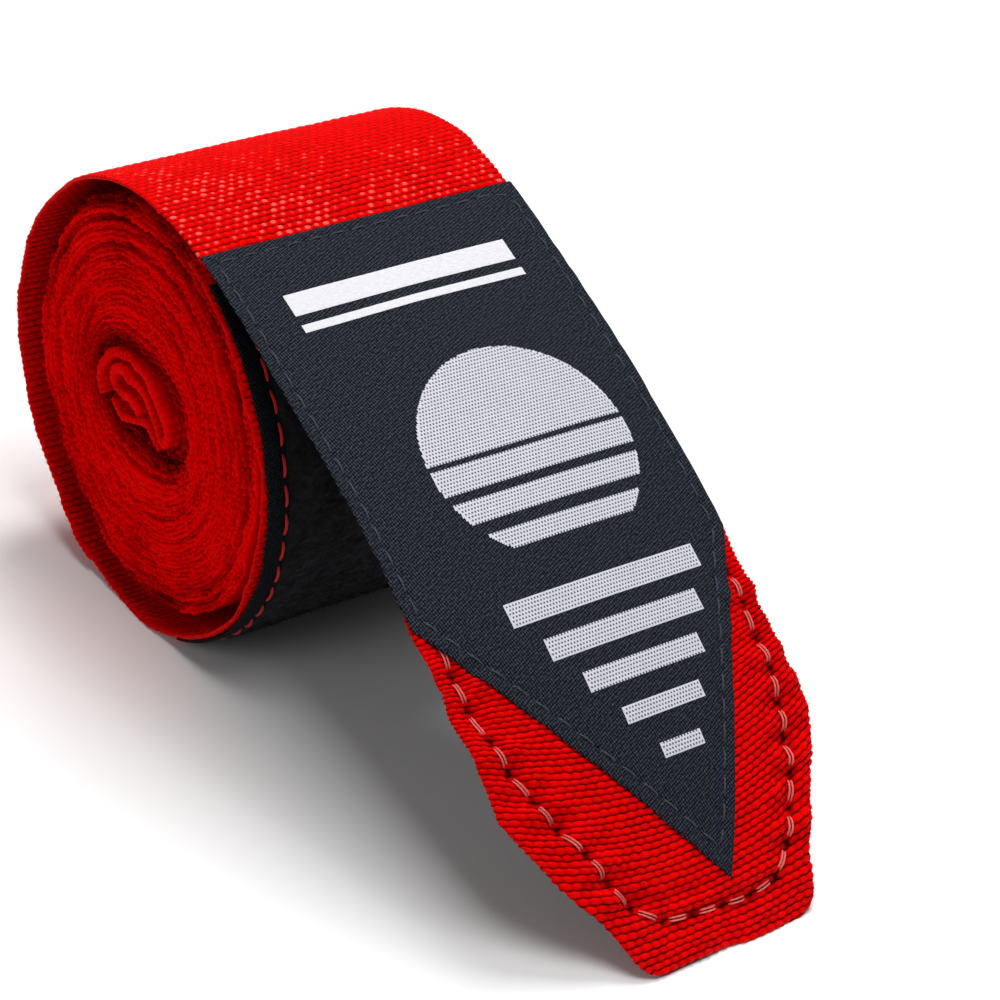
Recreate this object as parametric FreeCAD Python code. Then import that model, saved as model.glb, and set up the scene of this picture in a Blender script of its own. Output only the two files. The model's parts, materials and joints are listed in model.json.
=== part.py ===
import FreeCAD, Part
import math
import os

# Boxing hand wrap, rolled up with its closing tail left open.
# X runs along the roll's axis (across the tape), the tail leaves toward -Y, Z is up.
# The origin is on the ground, in the middle of the flat the soft roll rests on.
# All dimensions are in millimetres, all angles in degrees.

# --- tape ---
TAPE_WIDTH = 50.0
TAPE_THICKNESS = 0.5
TAPE_HALF = TAPE_THICKNESS / 2

# --- roll: half turns, alternately behind (A) and in front (B) ---
ROLL_RADIUS = 32.6          # middle of the tape in the outermost half turn
TIGHT_PITCH = 0.59          # one tight turn to the next
PACK_RADIUS = 29.0          # outermost tight half turn
CORE_RADIUS = 6.3           # innermost half turn
REST_SAG = 0.15             # how far the bottom is pressed flat
LIFT_OFF_ANGLE = 21.7       # where the tail leaves, from the top toward the front

# --- soft loop panel sewn on the outer face under the tail ---
PANEL_THICKNESS = 0.75
PANEL_START_ANGLE = 30.0
PANEL_END_ANGLE = 160.0
PANEL_WIDTH = 48.4
PANEL_STITCH_ROW = 21.3     # from the middle of the tape
PANEL_STITCH_LENGTH = 3.4
PANEL_STITCH_PITCH = 4.4

# --- tail, measured flat: u across the tape, v from the lift-off line ---
TAIL_SEGMENTS = 8
SEGMENT_LENGTH = 13.76
TAIL_LENGTH = TAIL_SEGMENTS * SEGMENT_LENGTH
DROOP_NEAR = 0.23           # bend per mm over the first part of the tail
DROOP_FAR = 0.33            # and over the rest
DROOP_CHANGE = 5 * SEGMENT_LENGTH
TAPER_START = 85.5
TIP_HALF_WIDTH = 13.0
TIP_CENTRE = 1.0

LABEL_THICKNESS = 0.35
LABEL_TOP = 2.0
LABEL_SHOULDER = 59.8
LABEL_POINT = 102.4
LABEL_POINT_OFFSET = 3.6
LABEL_HALF_WIDTH = 24.8
LABEL_STITCH_INSET = 1.6
LABEL_STITCH_LENGTH = 2.6
LABEL_STITCH_PITCH = 3.4

HOOK_THICKNESS = 0.5
HOOK_TOP = 4.0
HOOK_HALF_WIDTH = 23.4
HOOK_TAPER_START = 84.0
HOOK_END = 105.8
HOOK_END_HALF_WIDTH = 10.6
HOOK_STITCH_INSET = 1.3
HOOK_STITCH_LENGTH = 4.2
HOOK_STITCH_PITCH = 5.0

THREAD_WIDTH = 0.5
THREAD_HEIGHT = 0.2
SMALLEST_PIECE = 0.02       # mm3: shorter ends of thread left by a fold are dropped

# --- folds between tail segments ---
HINGE_GAP = 0.15            # half the gap at the fold line
CLOSING_BEVEL = 12.4        # half angle, underside
OPENING_BEVEL = 4.0         # half angle, label side
PEEL_BEVEL = 53.5           # half angle at the lift-off fold, label side
CLOSED_CLEARANCE = 0.3      # hook panel above loop panel when closed

# --- thumb loop folded into the core ---
THUMB_LOOP_WIDTH = 22.0
THUMB_LOOP_THICKNESS = 0.9
THUMB_LOOP_SPAN = 75.0      # half angle of its outer side
TACK_LENGTH = 8.0

# Front half turn: its size lets the closed tail lie just clear of the loop panel.
UNDER_TAIL = (TAPE_HALF + PANEL_THICKNESS + CLOSED_CLEARANCE + HOOK_THICKNESS
              + TAPE_HALF)
FRONT_RADIUS = ((4 * ROLL_RADIUS ** 2 - UNDER_TAIL ** 2 - SEGMENT_LENGTH ** 2 / 4)
                / (2 * UNDER_TAIL + 4 * ROLL_RADIUS))
FRONT_HEIGHT = FRONT_RADIUS + TAPE_HALF - REST_SAG


def vector(x, yz):
    return FreeCAD.Vector(x, yz[0], yz[1])


def on_circle(centre, radius, angle):
    """Point (y, z) at an angle from the top, positive toward the front."""
    a = math.radians(angle)
    return (centre[0] - radius * math.sin(a), centre[1] + radius * math.cos(a))


def arc(centre, radius, start, end):
    stops = (start, (start + end) / 2, end)
    points = [vector(0, on_circle(centre, radius, angle)) for angle in stops]
    return Part.Arc(*points).toShape()


def swept(edges, width, middle=0.0):
    """Close the outline, fill it and extrude it along the roll's axis."""
    face = Part.Face(Part.Wire(edges))
    face.translate(FreeCAD.Vector(middle - width / 2, 0, 0))
    return face.extrude(FreeCAD.Vector(width, 0, 0))


def half_turns():
    """Centre and radius of every half turn, from the outside in."""
    radii = [ROLL_RADIUS, FRONT_RADIUS]
    radius = PACK_RADIUS
    while radius > CORE_RADIUS:
        radii.append(radius)
        radius -= TIGHT_PITCH / 2
    front = (0.0, FRONT_HEIGHT)
    step = ROLL_RADIUS - FRONT_RADIUS
    turns = []
    for index, radius in enumerate(radii):
        if index > 0:
            change = radii[index - 1] - radius
            step += -change if index % 2 else change
        turns.append((on_circle(front, step, LIFT_OFF_ANGLE), radius))
    return turns


def half_turn_angles(index):
    start = LIFT_OFF_ANGLE - 180 * index
    return start, start - 180


def lift_off_point():
    centre, radius = half_turns()[0]
    return on_circle(centre, radius, LIFT_OFF_ANGLE)


def end_angle(radius, depth, bevel):
    """Angle at which the tape's cut end meets a face lying `depth` from its middle."""
    setback = HINGE_GAP + depth * math.tan(math.radians(bevel))
    return LIFT_OFF_ANGLE - math.degrees(setback / radius)


def tape_roll():
    """The whole wound tape: one strip on edge, bevelled where the tail folds."""
    turns = half_turns()
    outer, inner = [], []
    for index, (centre, radius) in enumerate(turns):
        start, end = half_turn_angles(index)
        outer_start = inner_start = start
        if index == 0:
            outer_start = end_angle(radius, TAPE_HALF, PEEL_BEVEL)
            inner_start = end_angle(radius, TAPE_HALF, CLOSING_BEVEL)
        outer.append(arc(centre, radius + TAPE_HALF, outer_start, end))
        inner.append(arc(centre, radius - TAPE_HALF, inner_start, end))
    centre, radius = turns[0]
    middle = vector(0, on_circle(centre, radius, end_angle(radius, 0, 0)))
    outer_corner = outer[0].Vertexes[0].Point
    inner_corner = inner[0].Vertexes[0].Point
    tail_end = [Part.makeLine(inner_corner, middle), Part.makeLine(middle, outer_corner)]
    centre, radius = turns[-1]
    angle = half_turn_angles(len(turns) - 1)[1]
    core_end = Part.makeLine(vector(0, on_circle(centre, radius + TAPE_HALF, angle)),
                             vector(0, on_circle(centre, radius - TAPE_HALF, angle)))
    edges = outer + [core_end] + inner[::-1] + tail_end
    solid = swept(Part.__sortEdges__(edges), TAPE_WIDTH)
    ground = Part.makeBox(90, 90, 10, FreeCAD.Vector(-45, -45, -10))
    return solid.cut(ground)


def ring_sector(centre, inner_radius, outer_radius, start, end, width, middle=0.0):
    inner = arc(centre, inner_radius, start, end)
    outer = arc(centre, outer_radius, start, end)
    sides = [Part.makeLine(vector(0, on_circle(centre, inner_radius, angle)),
                           vector(0, on_circle(centre, outer_radius, angle)))
             for angle in (start, end)]
    return swept(Part.__sortEdges__([inner, outer] + sides), width, middle)


def loop_panel():
    centre, radius = half_turns()[1]
    inner = radius + TAPE_HALF
    return ring_sector(centre, inner, inner + PANEL_THICKNESS,
                       PANEL_START_ANGLE, PANEL_END_ANGLE, PANEL_WIDTH)


def loop_panel_stitching():
    """Dashes along both sides of the panel and across its two ends."""
    centre, radius = half_turns()[1]
    face = radius + TAPE_HALF + PANEL_THICKNESS
    degrees_per_mm = 180 / math.pi / face
    inset = (PANEL_WIDTH / 2 - PANEL_STITCH_ROW) * degrees_per_mm
    first = PANEL_START_ANGLE + inset
    last = PANEL_END_ANGLE - inset
    stitches = []

    def dash(start, end, width, middle):
        stitches.append(ring_sector(centre, face, face + THREAD_HEIGHT,
                                    start, end, width, middle))

    length = PANEL_STITCH_LENGTH * degrees_per_mm
    count = int((last - first) / (PANEL_STITCH_PITCH * degrees_per_mm))
    for side in (-1, 1):
        for index in range(count):
            start = first + (last - first) * (index + 0.5) / count - length / 2
            dash(start, start + length, THREAD_WIDTH, side * PANEL_STITCH_ROW)
    half_thread = THREAD_WIDTH / 2 * degrees_per_mm
    across = int(2 * PANEL_STITCH_ROW / PANEL_STITCH_PITCH)
    for angle in (first, last):
        for index in range(across):
            middle = PANEL_STITCH_ROW * (2 * (index + 0.5) / across - 1)
            dash(angle - half_thread, angle + half_thread, PANEL_STITCH_LENGTH, middle)
    return Part.makeCompound(stitches)


def core_place():
    """Centre, inner face radius and middle angle of the innermost half turn."""
    turns = half_turns()
    centre, radius = turns[-1]
    start, end = half_turn_angles(len(turns) - 1)
    return centre, radius - TAPE_HALF, (start + end) / 2


def thumb_loop():
    """Narrow loop pressed flat: its outer side lies against the innermost turn."""
    centre, radius, middle = core_place()
    band = THUMB_LOOP_THICKNESS
    width = THUMB_LOOP_WIDTH
    shift = (width - TAPE_WIDTH) / 2 + 0.6

    def flat_ring(outer_radius, span):
        start, end = middle - span, middle + span
        side = arc(centre, outer_radius, start, end)
        chord = Part.makeLine(vector(0, on_circle(centre, outer_radius, end)),
                              vector(0, on_circle(centre, outer_radius, start)))
        return swept([side, chord], width, shift)

    outer = flat_ring(radius, THUMB_LOOP_SPAN)
    inner = flat_ring(radius - band, THUMB_LOOP_SPAN - 16)
    return outer.cut(inner)


def thumb_loop_tack():
    """Bar tack that holds the loop to the tape, on the loop's inner side."""
    centre, radius, middle = core_place()
    face = radius - THUMB_LOOP_THICKNESS
    shift = (THUMB_LOOP_WIDTH - TAPE_WIDTH) / 2 + 0.6
    bars = [ring_sector(centre, face - THREAD_HEIGHT, face, middle + offset,
                        middle + offset + 6, TACK_LENGTH, shift)
            for offset in (-15, -3, 9)]
    return Part.makeCompound(bars)


def bend_after(distance):
    near = min(distance, DROOP_CHANGE)
    return DROOP_NEAR * near + DROOP_FAR * (distance - near)


def segment_directions():
    """Downward slope of each tail segment."""
    return [LIFT_OFF_ANGLE + bend_after((index + 0.5) * SEGMENT_LENGTH)
            for index in range(TAIL_SEGMENTS)]


def fold_lines():
    """Points (y, z) of the folds, from the lift-off line to the tip."""
    points = [lift_off_point()]
    for slope in segment_directions():
        a = math.radians(slope)
        y, z = points[-1]
        points.append((y - SEGMENT_LENGTH * math.cos(a), z - SEGMENT_LENGTH * math.sin(a)))
    return points


def segment_placement(index):
    """Moves flat tail coordinates (v, u, height) to where the segment lies."""
    a = math.radians(segment_directions()[index])
    y, z = fold_lines()[index]
    along = FreeCAD.Vector(0, -math.cos(a), -math.sin(a))
    across = FreeCAD.Vector(1, 0, 0)
    outward = FreeCAD.Vector(0, -math.sin(a), math.cos(a))
    start = FreeCAD.Vector(0, y, z) - along * (index * SEGMENT_LENGTH)
    columns = (along, across, outward, start)
    rows = [[column[row] for column in columns] for row in range(3)]
    return FreeCAD.Placement(FreeCAD.Matrix(*rows[0], *rows[1], *rows[2], 0, 0, 0, 1))


def segment_cell(index):
    """Space one segment may fill: bevelled at its folds, square at the tip."""
    reach = 1.5
    start = index * SEGMENT_LENGTH
    end = start + SEGMENT_LENGTH

    def setback(bevel):
        return HINGE_GAP + reach * math.tan(math.radians(bevel))

    opening = PEEL_BEVEL if index == 0 else OPENING_BEVEL
    outline = [(start + setback(CLOSING_BEVEL), -reach),
               (start + HINGE_GAP, 0),
               (start + setback(opening), reach)]
    if index == TAIL_SEGMENTS - 1:
        outline += [(end + 5, reach), (end + 5, -reach)]
    else:
        outline += [(end - setback(OPENING_BEVEL), reach),
                    (end - HINGE_GAP, 0),
                    (end - setback(CLOSING_BEVEL), -reach)]
    points = [FreeCAD.Vector(v, -TAPE_WIDTH, w) for v, w in outline]
    face = Part.Face(Part.makePolygon(points + points[:1]))
    return face.extrude(FreeCAD.Vector(0, 2 * TAPE_WIDTH, 0))


def plate(outline, bottom, top):
    """Flat sheet from an outline of (u, v) points."""
    points = [FreeCAD.Vector(v, u, bottom) for u, v in outline]
    face = Part.Face(Part.makePolygon(points + points[:1]))
    return face.extrude(FreeCAD.Vector(0, 0, top - bottom))


def tape_outline():
    half = TAPE_WIDTH / 2
    return [(-half, 0), (half, 0), (half, TAPER_START + 1),
            (TIP_CENTRE + TIP_HALF_WIDTH, TAIL_LENGTH),
            (TIP_CENTRE - TIP_HALF_WIDTH, TAIL_LENGTH), (-half, TAPER_START - 1)]


def label_outline(inset=0.0):
    half = LABEL_HALF_WIDTH - inset
    shoulder = LABEL_SHOULDER - inset * 0.5
    return [(-half, LABEL_TOP + inset), (half, LABEL_TOP + inset), (half, shoulder),
            (LABEL_POINT_OFFSET, LABEL_POINT - inset * 1.9), (-half, shoulder)]


def hook_outline(inset=0.0):
    half = HOOK_HALF_WIDTH - inset
    end_half = HOOK_END_HALF_WIDTH - inset * 0.6
    return [(-half, HOOK_TOP + inset), (half, HOOK_TOP + inset),
            (half, HOOK_TAPER_START - inset * 0.5),
            (TIP_CENTRE + end_half, HOOK_END - inset),
            (TIP_CENTRE - end_half, HOOK_END - inset),
            (-half, HOOK_TAPER_START - inset * 0.5)]


def dashes(outline, length, pitch, bottom):
    """Stitches as short bars along a closed outline of (u, v) points."""
    bars = []
    for (u0, v0), (u1, v1) in zip(outline, outline[1:] + outline[:1]):
        side = math.hypot(u1 - u0, v1 - v0)
        count = max(1, int(side / pitch))
        for index in range(count):
            bar = Part.makeBox(length, THREAD_WIDTH, THREAD_HEIGHT,
                               FreeCAD.Vector(-length / 2, -THREAD_WIDTH / 2, bottom))
            share = (index + 0.5) / count
            turn = math.degrees(math.atan2(u1 - u0, v1 - v0))
            place = FreeCAD.Vector(v0 + (v1 - v0) * share, u0 + (u1 - u0) * share, 0)
            rotation = FreeCAD.Rotation(FreeCAD.Vector(0, 0, 1), turn)
            bar.Placement = FreeCAD.Placement(place, rotation)
            bars.append(bar)
    return bars


def cut_to_segment(shapes, index):
    """The share of a layer that belongs to one segment, in its real place."""
    cell = segment_cell(index)
    pieces = []
    for shape in shapes:
        solids = shape.common(cell).Solids
        pieces += [solid for solid in solids if solid.Volume > SMALLEST_PIECE]
    if not pieces:
        return None
    result = pieces[0] if len(pieces) == 1 else Part.makeCompound(pieces)
    result.Placement = segment_placement(index).multiply(result.Placement)
    return result


def tail_parts():
    label_top = TAPE_HALF + LABEL_THICKNESS
    hook_stitches = dashes(hook_outline(HOOK_STITCH_INSET), HOOK_STITCH_LENGTH,
                           HOOK_STITCH_PITCH, TAPE_HALF)
    label = plate(label_outline(), TAPE_HALF, label_top)
    layers = {
        "tail_tape": [plate(tape_outline(), -TAPE_HALF, TAPE_HALF)],
        "label": [label],
        "hook_panel": [plate(hook_outline(), -TAPE_HALF - HOOK_THICKNESS, -TAPE_HALF)],
        "label_stitching": dashes(label_outline(LABEL_STITCH_INSET), LABEL_STITCH_LENGTH,
                                  LABEL_STITCH_PITCH, label_top),
        "hook_stitching": [bar.cut(label) for bar in hook_stitches],
    }
    parts = {}
    for name, shapes in layers.items():
        for index in range(TAIL_SEGMENTS):
            shape = cut_to_segment(shapes, index)
            if shape is not None:
                parts["%s_%d" % (name, index + 1)] = shape
    return parts


def all_parts():
    parts = {
        "tape_roll": tape_roll(),
        "loop_panel": loop_panel(),
        "loop_panel_stitching": loop_panel_stitching(),
        "thumb_loop": thumb_loop(),
        "thumb_loop_tack": thumb_loop_tack(),
    }
    parts.update(tail_parts())
    return parts


os.makedirs("parts", exist_ok=True)
for node, shape in all_parts().items():
    shape.exportStep("parts/%s.step" % node)
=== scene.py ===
"""Looks of the rolled hand wrap with its closing tail left open.

Lengths are in millimetres here and become metres in build_mesh. A point on the tape is named by
u (across, along the roll's axis), v (along the tape from the lift-off line, growing toward the tip
and falling into the roll) and w (height above the middle of the tape, on its outer side).
"""

import json
import math

import bmesh
import bpy
import numpy as np
from mathutils import Matrix, Vector
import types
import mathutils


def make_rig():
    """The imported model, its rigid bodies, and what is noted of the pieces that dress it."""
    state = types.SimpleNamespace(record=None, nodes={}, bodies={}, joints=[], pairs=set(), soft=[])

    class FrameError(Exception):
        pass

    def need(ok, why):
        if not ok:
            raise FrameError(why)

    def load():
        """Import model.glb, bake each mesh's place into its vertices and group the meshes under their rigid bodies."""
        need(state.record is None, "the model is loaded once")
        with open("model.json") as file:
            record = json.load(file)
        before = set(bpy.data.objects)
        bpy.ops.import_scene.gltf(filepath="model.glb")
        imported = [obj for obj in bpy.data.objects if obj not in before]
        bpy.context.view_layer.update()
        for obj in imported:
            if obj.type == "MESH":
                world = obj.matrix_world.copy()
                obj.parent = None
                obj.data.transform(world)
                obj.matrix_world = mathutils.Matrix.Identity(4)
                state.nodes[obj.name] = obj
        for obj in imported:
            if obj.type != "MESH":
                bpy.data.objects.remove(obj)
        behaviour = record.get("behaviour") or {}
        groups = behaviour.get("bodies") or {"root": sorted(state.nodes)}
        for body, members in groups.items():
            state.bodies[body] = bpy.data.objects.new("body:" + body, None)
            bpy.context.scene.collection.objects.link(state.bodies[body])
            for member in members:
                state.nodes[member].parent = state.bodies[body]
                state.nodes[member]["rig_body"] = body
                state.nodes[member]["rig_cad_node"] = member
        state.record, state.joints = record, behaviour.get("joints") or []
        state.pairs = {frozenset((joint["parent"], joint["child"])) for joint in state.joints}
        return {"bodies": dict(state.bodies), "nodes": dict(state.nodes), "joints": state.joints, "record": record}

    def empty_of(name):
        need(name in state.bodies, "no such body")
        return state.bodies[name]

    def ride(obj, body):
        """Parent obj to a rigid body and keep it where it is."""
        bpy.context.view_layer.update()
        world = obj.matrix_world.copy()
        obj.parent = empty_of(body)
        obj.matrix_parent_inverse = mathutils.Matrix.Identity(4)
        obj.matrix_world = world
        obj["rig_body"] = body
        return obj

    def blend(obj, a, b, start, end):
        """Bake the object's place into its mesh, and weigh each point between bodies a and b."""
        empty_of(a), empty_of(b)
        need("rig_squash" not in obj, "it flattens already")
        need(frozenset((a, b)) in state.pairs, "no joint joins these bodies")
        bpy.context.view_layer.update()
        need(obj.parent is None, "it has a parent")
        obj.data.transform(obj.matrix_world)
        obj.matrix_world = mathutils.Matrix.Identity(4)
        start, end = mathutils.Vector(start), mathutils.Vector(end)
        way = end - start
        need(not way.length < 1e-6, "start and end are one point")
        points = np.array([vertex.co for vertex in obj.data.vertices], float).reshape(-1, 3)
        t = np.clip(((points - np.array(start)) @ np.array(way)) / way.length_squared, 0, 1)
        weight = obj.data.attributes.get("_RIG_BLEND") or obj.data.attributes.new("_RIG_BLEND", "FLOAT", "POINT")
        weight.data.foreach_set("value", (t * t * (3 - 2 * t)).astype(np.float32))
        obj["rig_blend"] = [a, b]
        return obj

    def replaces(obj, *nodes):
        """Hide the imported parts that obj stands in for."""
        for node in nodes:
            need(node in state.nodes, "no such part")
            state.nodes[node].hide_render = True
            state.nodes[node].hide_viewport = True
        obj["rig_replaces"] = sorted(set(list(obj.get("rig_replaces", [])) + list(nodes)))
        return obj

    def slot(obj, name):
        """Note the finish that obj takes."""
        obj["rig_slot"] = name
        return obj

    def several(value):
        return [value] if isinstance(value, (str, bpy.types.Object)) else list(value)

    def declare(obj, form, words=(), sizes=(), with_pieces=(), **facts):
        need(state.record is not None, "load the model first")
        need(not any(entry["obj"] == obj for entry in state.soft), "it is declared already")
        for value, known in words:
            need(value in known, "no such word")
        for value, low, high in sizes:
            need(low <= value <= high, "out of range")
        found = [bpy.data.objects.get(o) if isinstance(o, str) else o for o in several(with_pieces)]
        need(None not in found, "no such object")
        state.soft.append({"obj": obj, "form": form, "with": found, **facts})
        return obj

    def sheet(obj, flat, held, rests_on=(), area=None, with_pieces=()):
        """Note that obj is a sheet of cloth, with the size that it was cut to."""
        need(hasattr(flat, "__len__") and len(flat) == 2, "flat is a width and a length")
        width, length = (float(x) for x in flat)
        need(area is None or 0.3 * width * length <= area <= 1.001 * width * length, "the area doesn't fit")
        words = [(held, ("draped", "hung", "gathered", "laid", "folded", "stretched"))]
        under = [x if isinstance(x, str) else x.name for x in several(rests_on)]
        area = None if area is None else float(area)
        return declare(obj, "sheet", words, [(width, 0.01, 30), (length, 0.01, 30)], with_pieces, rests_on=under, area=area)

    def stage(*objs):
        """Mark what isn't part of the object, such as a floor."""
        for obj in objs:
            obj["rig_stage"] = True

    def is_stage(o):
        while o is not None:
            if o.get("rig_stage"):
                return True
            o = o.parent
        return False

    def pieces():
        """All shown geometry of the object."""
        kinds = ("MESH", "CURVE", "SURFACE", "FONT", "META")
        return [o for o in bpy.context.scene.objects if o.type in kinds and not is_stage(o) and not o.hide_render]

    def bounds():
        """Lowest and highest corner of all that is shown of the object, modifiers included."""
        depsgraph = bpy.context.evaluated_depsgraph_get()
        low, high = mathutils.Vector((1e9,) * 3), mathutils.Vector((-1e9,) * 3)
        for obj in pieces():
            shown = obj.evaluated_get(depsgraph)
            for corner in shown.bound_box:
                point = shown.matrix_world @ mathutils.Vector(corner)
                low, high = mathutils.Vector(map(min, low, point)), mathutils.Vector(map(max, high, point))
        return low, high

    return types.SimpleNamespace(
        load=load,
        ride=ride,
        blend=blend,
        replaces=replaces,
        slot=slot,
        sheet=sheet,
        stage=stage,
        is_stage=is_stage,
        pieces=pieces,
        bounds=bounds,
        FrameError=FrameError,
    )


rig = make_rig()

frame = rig.load()
CAD_BOX = [list(corner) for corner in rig.bounds()]

MM = 0.001
JOINTS = {joint["name"]: joint for joint in frame["joints"]}
RANDOM = np.random.default_rng(20)

# --- the tape's path, as in the CAD source ---
HALF_WIDTH = 25.0
OUTER_RADIUS = 32.6
FRONT_RADIUS = 31.223
PACK_RADIUS = 29.0
TURN_PITCH = 0.59
PACK_HALF_TURNS = 75
LIFT_ANGLE = 21.7
SEGMENT = 13.76
TAIL_LENGTH = 8 * SEGMENT
DROOP_NEAR = 0.23
DROOP_FAR = 0.33
DROOP_CHANGE = 5 * SEGMENT
CORE_CENTRE = (-0.75, 33.3)

# --- the weave ---
FLOAT_LENGTH = 1.42
TAIL_RIB = 0.86
ROLL_RIB = 1.02
SEAM = SEGMENT / 2          # strip 0 of the tail ends here, half way to the first fold
SEAM_RIB = 8                # number of the rib at the seam
FACE_LOW = -0.2             # grooves and crests of the outer face
FACE_HIGH = 0.30
END_ROW = 0.012             # the extra row inside a cut end
WEAVE_REACH = 25.6          # the columns of the weave start beyond the widest edge
BACK_SHIFT = (0.6, 0.5)     # the inner face's floats against the outer face's, in mm and in ribs
OUTER_SEED = 51             # random edges of the outer turn and of the turn in front
FRONT_SEED = 55

# --- tail ---
TAIL_ROOT = -7.4            # its first strip starts inside the roll
LAST = 7                    # number of its last strip
FIRST_BARE = 5              # first strip that shows the double stitches
TAPER_START = 85.5
TIP_HALF_WIDTH = 13.0
TIP_CENTRE = 1.0
TIP_CORNER = 2.2

# --- label ---
LABEL_TOP = 2.0
LABEL_SHOULDER = 59.8
LABEL_POINT = 102.4
LABEL_POINT_OFFSET = 3.6
LABEL_HALF_WIDTH = 24.8
LABEL_FACE = 0.66
LABEL_BACK = 0.30
THREAD_ACROSS = 0.24
THREAD_ALONG = 0.25
STRIPES = ((11.2, 14.6), (16.2, 17.4))
STRIPE_HALF_WIDTH = 17.5
DISC_CENTRE = (3.0, 42.0)
DISC_RADIUS = 15.5
DISC_END = 54.1             # the disc is cut flat here
SLICES_START = 40.6
SLICE_PITCH = 4.5
BARS = 5
BARS_START = 60.6
BAR_PITCH = 5.7

# --- hook panel under the tail ---
HOOK_TOP = 4.0
HOOK_HALF_WIDTH = 23.4
HOOK_TAPER_START = 84.0
HOOK_END = 105.8
HOOK_END_HALF_WIDTH = 10.6
HOOK_BACK = -0.62
HOOK_TIPS = -1.0

# --- loop panel on the front half turn ---
PANEL_HALF_WIDTH = 24.2
PANEL_START = 30.0
PANEL_END = 160.0
PANEL_FACE = 1.0
PANEL_STITCH_ROW = 21.3

# --- sewing ---
DOUBLE_THREAD = ((-0.2, 0.03), (0.2, 0.06))  # sideways place and sway of each thread of a pair
STITCH_DEPTH = 0.35                          # how far a thread dives into its holes

# --- stitch row that holds the hook panel, as (u, v) points round the tape's end ---
HOOK_FOOT = (0.0, 104.7)
HOOK_ROUTE = [
    (-22.0, 62.0), (-22.0, 70.0), (-20.6, 80.5), (-16.9, 89.0), (-12.7, 98.0), (-8.8, 103.4),
    HOOK_FOOT, (8.4, 104.9), (12.6, 102.6), (16.2, 97.0), (19.4, 89.5), (21.5, 81.0), (22.3, 69.5),
    (22.3, 62.0),
]


# --- repeatable noise ---

def lattice(i, j, seed):
    """A random number from 0 to 1 for each pair of whole numbers."""
    n = np.asarray(i).astype(np.int64) * 374761393 + np.asarray(j).astype(np.int64) * 668265263
    n = (n + seed * 362437) & 0xFFFFFFFF
    n = ((n ^ (n >> 13)) * 1274126177) & 0xFFFFFFFF
    n = ((n ^ (n >> 15)) * 1103515245) & 0xFFFFFFFF
    return ((n ^ (n >> 16)) & 0xFFFF) / 65535.0


def noise(x, y, seed):
    """Smooth random numbers from -1 to 1 that change over about one unit."""
    x, y = np.broadcast_arrays(x, y)
    i, j = np.floor(x), np.floor(y)
    s, t = x - i, y - j
    s, t = s * s * (3 - 2 * s), t * t * (3 - 2 * t)
    low = lattice(i, j, seed) * (1 - s) + lattice(i + 1, j, seed) * s
    high = lattice(i, j + 1, seed) * (1 - s) + lattice(i + 1, j + 1, seed) * s
    return 2 * (low * (1 - t) + high * t) - 1


def ramp(x, start, end):
    """0 before start, 1 after end, smooth between."""
    t = np.clip((x - start) / (end - start), 0, 1)
    return t * t * (3 - 2 * t)


# --- the tape's path ---

class TapePath:
    """The middle line of the tape in the side plane, as arcs that join smoothly."""

    def __init__(self, start, heading, inward, outward):
        arcs = []
        y, z, angle, v = start[0], start[1], heading, 0.0
        for curvature, length in inward:
            before = angle - curvature * length
            y += (math.sin(angle) - math.sin(before)) / curvature
            z -= (math.cos(angle) - math.cos(before)) / curvature
            v -= length
            angle = before
            arcs.insert(0, (v, y, z, angle, curvature))
        y, z, angle, v = start[0], start[1], heading, 0.0
        for curvature, length in outward:
            arcs.append((v, y, z, angle, curvature))
            after = angle + curvature * length
            y -= (math.sin(after) - math.sin(angle)) / curvature
            z += (math.cos(after) - math.cos(angle)) / curvature
            v += length
            angle = after
        self.arcs = np.array(arcs)

    def at(self, v):
        """Position (y, z) and downward heading in radians."""
        index = np.clip(np.searchsorted(self.arcs[:, 0], v, side="right") - 1, 0, len(self.arcs) - 1)
        begin, y, z, angle, curvature = np.moveaxis(self.arcs[index], -1, 0)
        turned = angle + curvature * (v - begin)
        return (
            y - (np.sin(turned) - np.sin(angle)) / curvature,
            z + (np.cos(turned) - np.cos(angle)) / curvature,
            turned,
        )


def wound_radii():
    pack = [PACK_RADIUS - TURN_PITCH / 2 * n for n in range(PACK_HALF_TURNS)]
    return [OUTER_RADIUS, FRONT_RADIUS, *pack]


LIFT_OFF = [c / MM for c in JOINTS["tail_lift"]["pos_m"][1:]]
PATH = TapePath(
    LIFT_OFF,
    math.radians(LIFT_ANGLE),
    [(1 / radius, math.pi * radius) for radius in wound_radii()],
    [(math.radians(DROOP_NEAR), DROOP_CHANGE), (math.radians(DROOP_FAR), TAIL_LENGTH)],
)
BACK_START = -math.pi * OUTER_RADIUS
FRONT_START = BACK_START - math.pi * FRONT_RADIUS
PACK_START = -math.pi * sum(wound_radii())


def strip_range(k, first, last):
    """Where strip k of the tail starts and ends, for a piece that runs from first to last."""
    start = first if k == 0 else SEAM + (k - 1) * SEGMENT
    end = last if k == LAST else SEAM + k * SEGMENT
    return max(start, first), min(end, last)


def pressed(y, z):
    """The innermost turns are squeezed flat round the folded core."""
    dy, dz = y - CORE_CENTRE[0], z - CORE_CENTRE[1]
    radius, angle = np.hypot(dy, dz), np.arctan2(dz, dy)
    share = 1 - ramp(radius, 7.5, 17.0)
    radius = radius * (1 + 0.27 * share * np.cos(2 * angle))
    return (
        CORE_CENTRE[0] + radius * np.cos(angle) + 1.0 * share,
        CORE_CENTRE[1] + radius * np.sin(angle) + 0.8 * share,
    )


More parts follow.
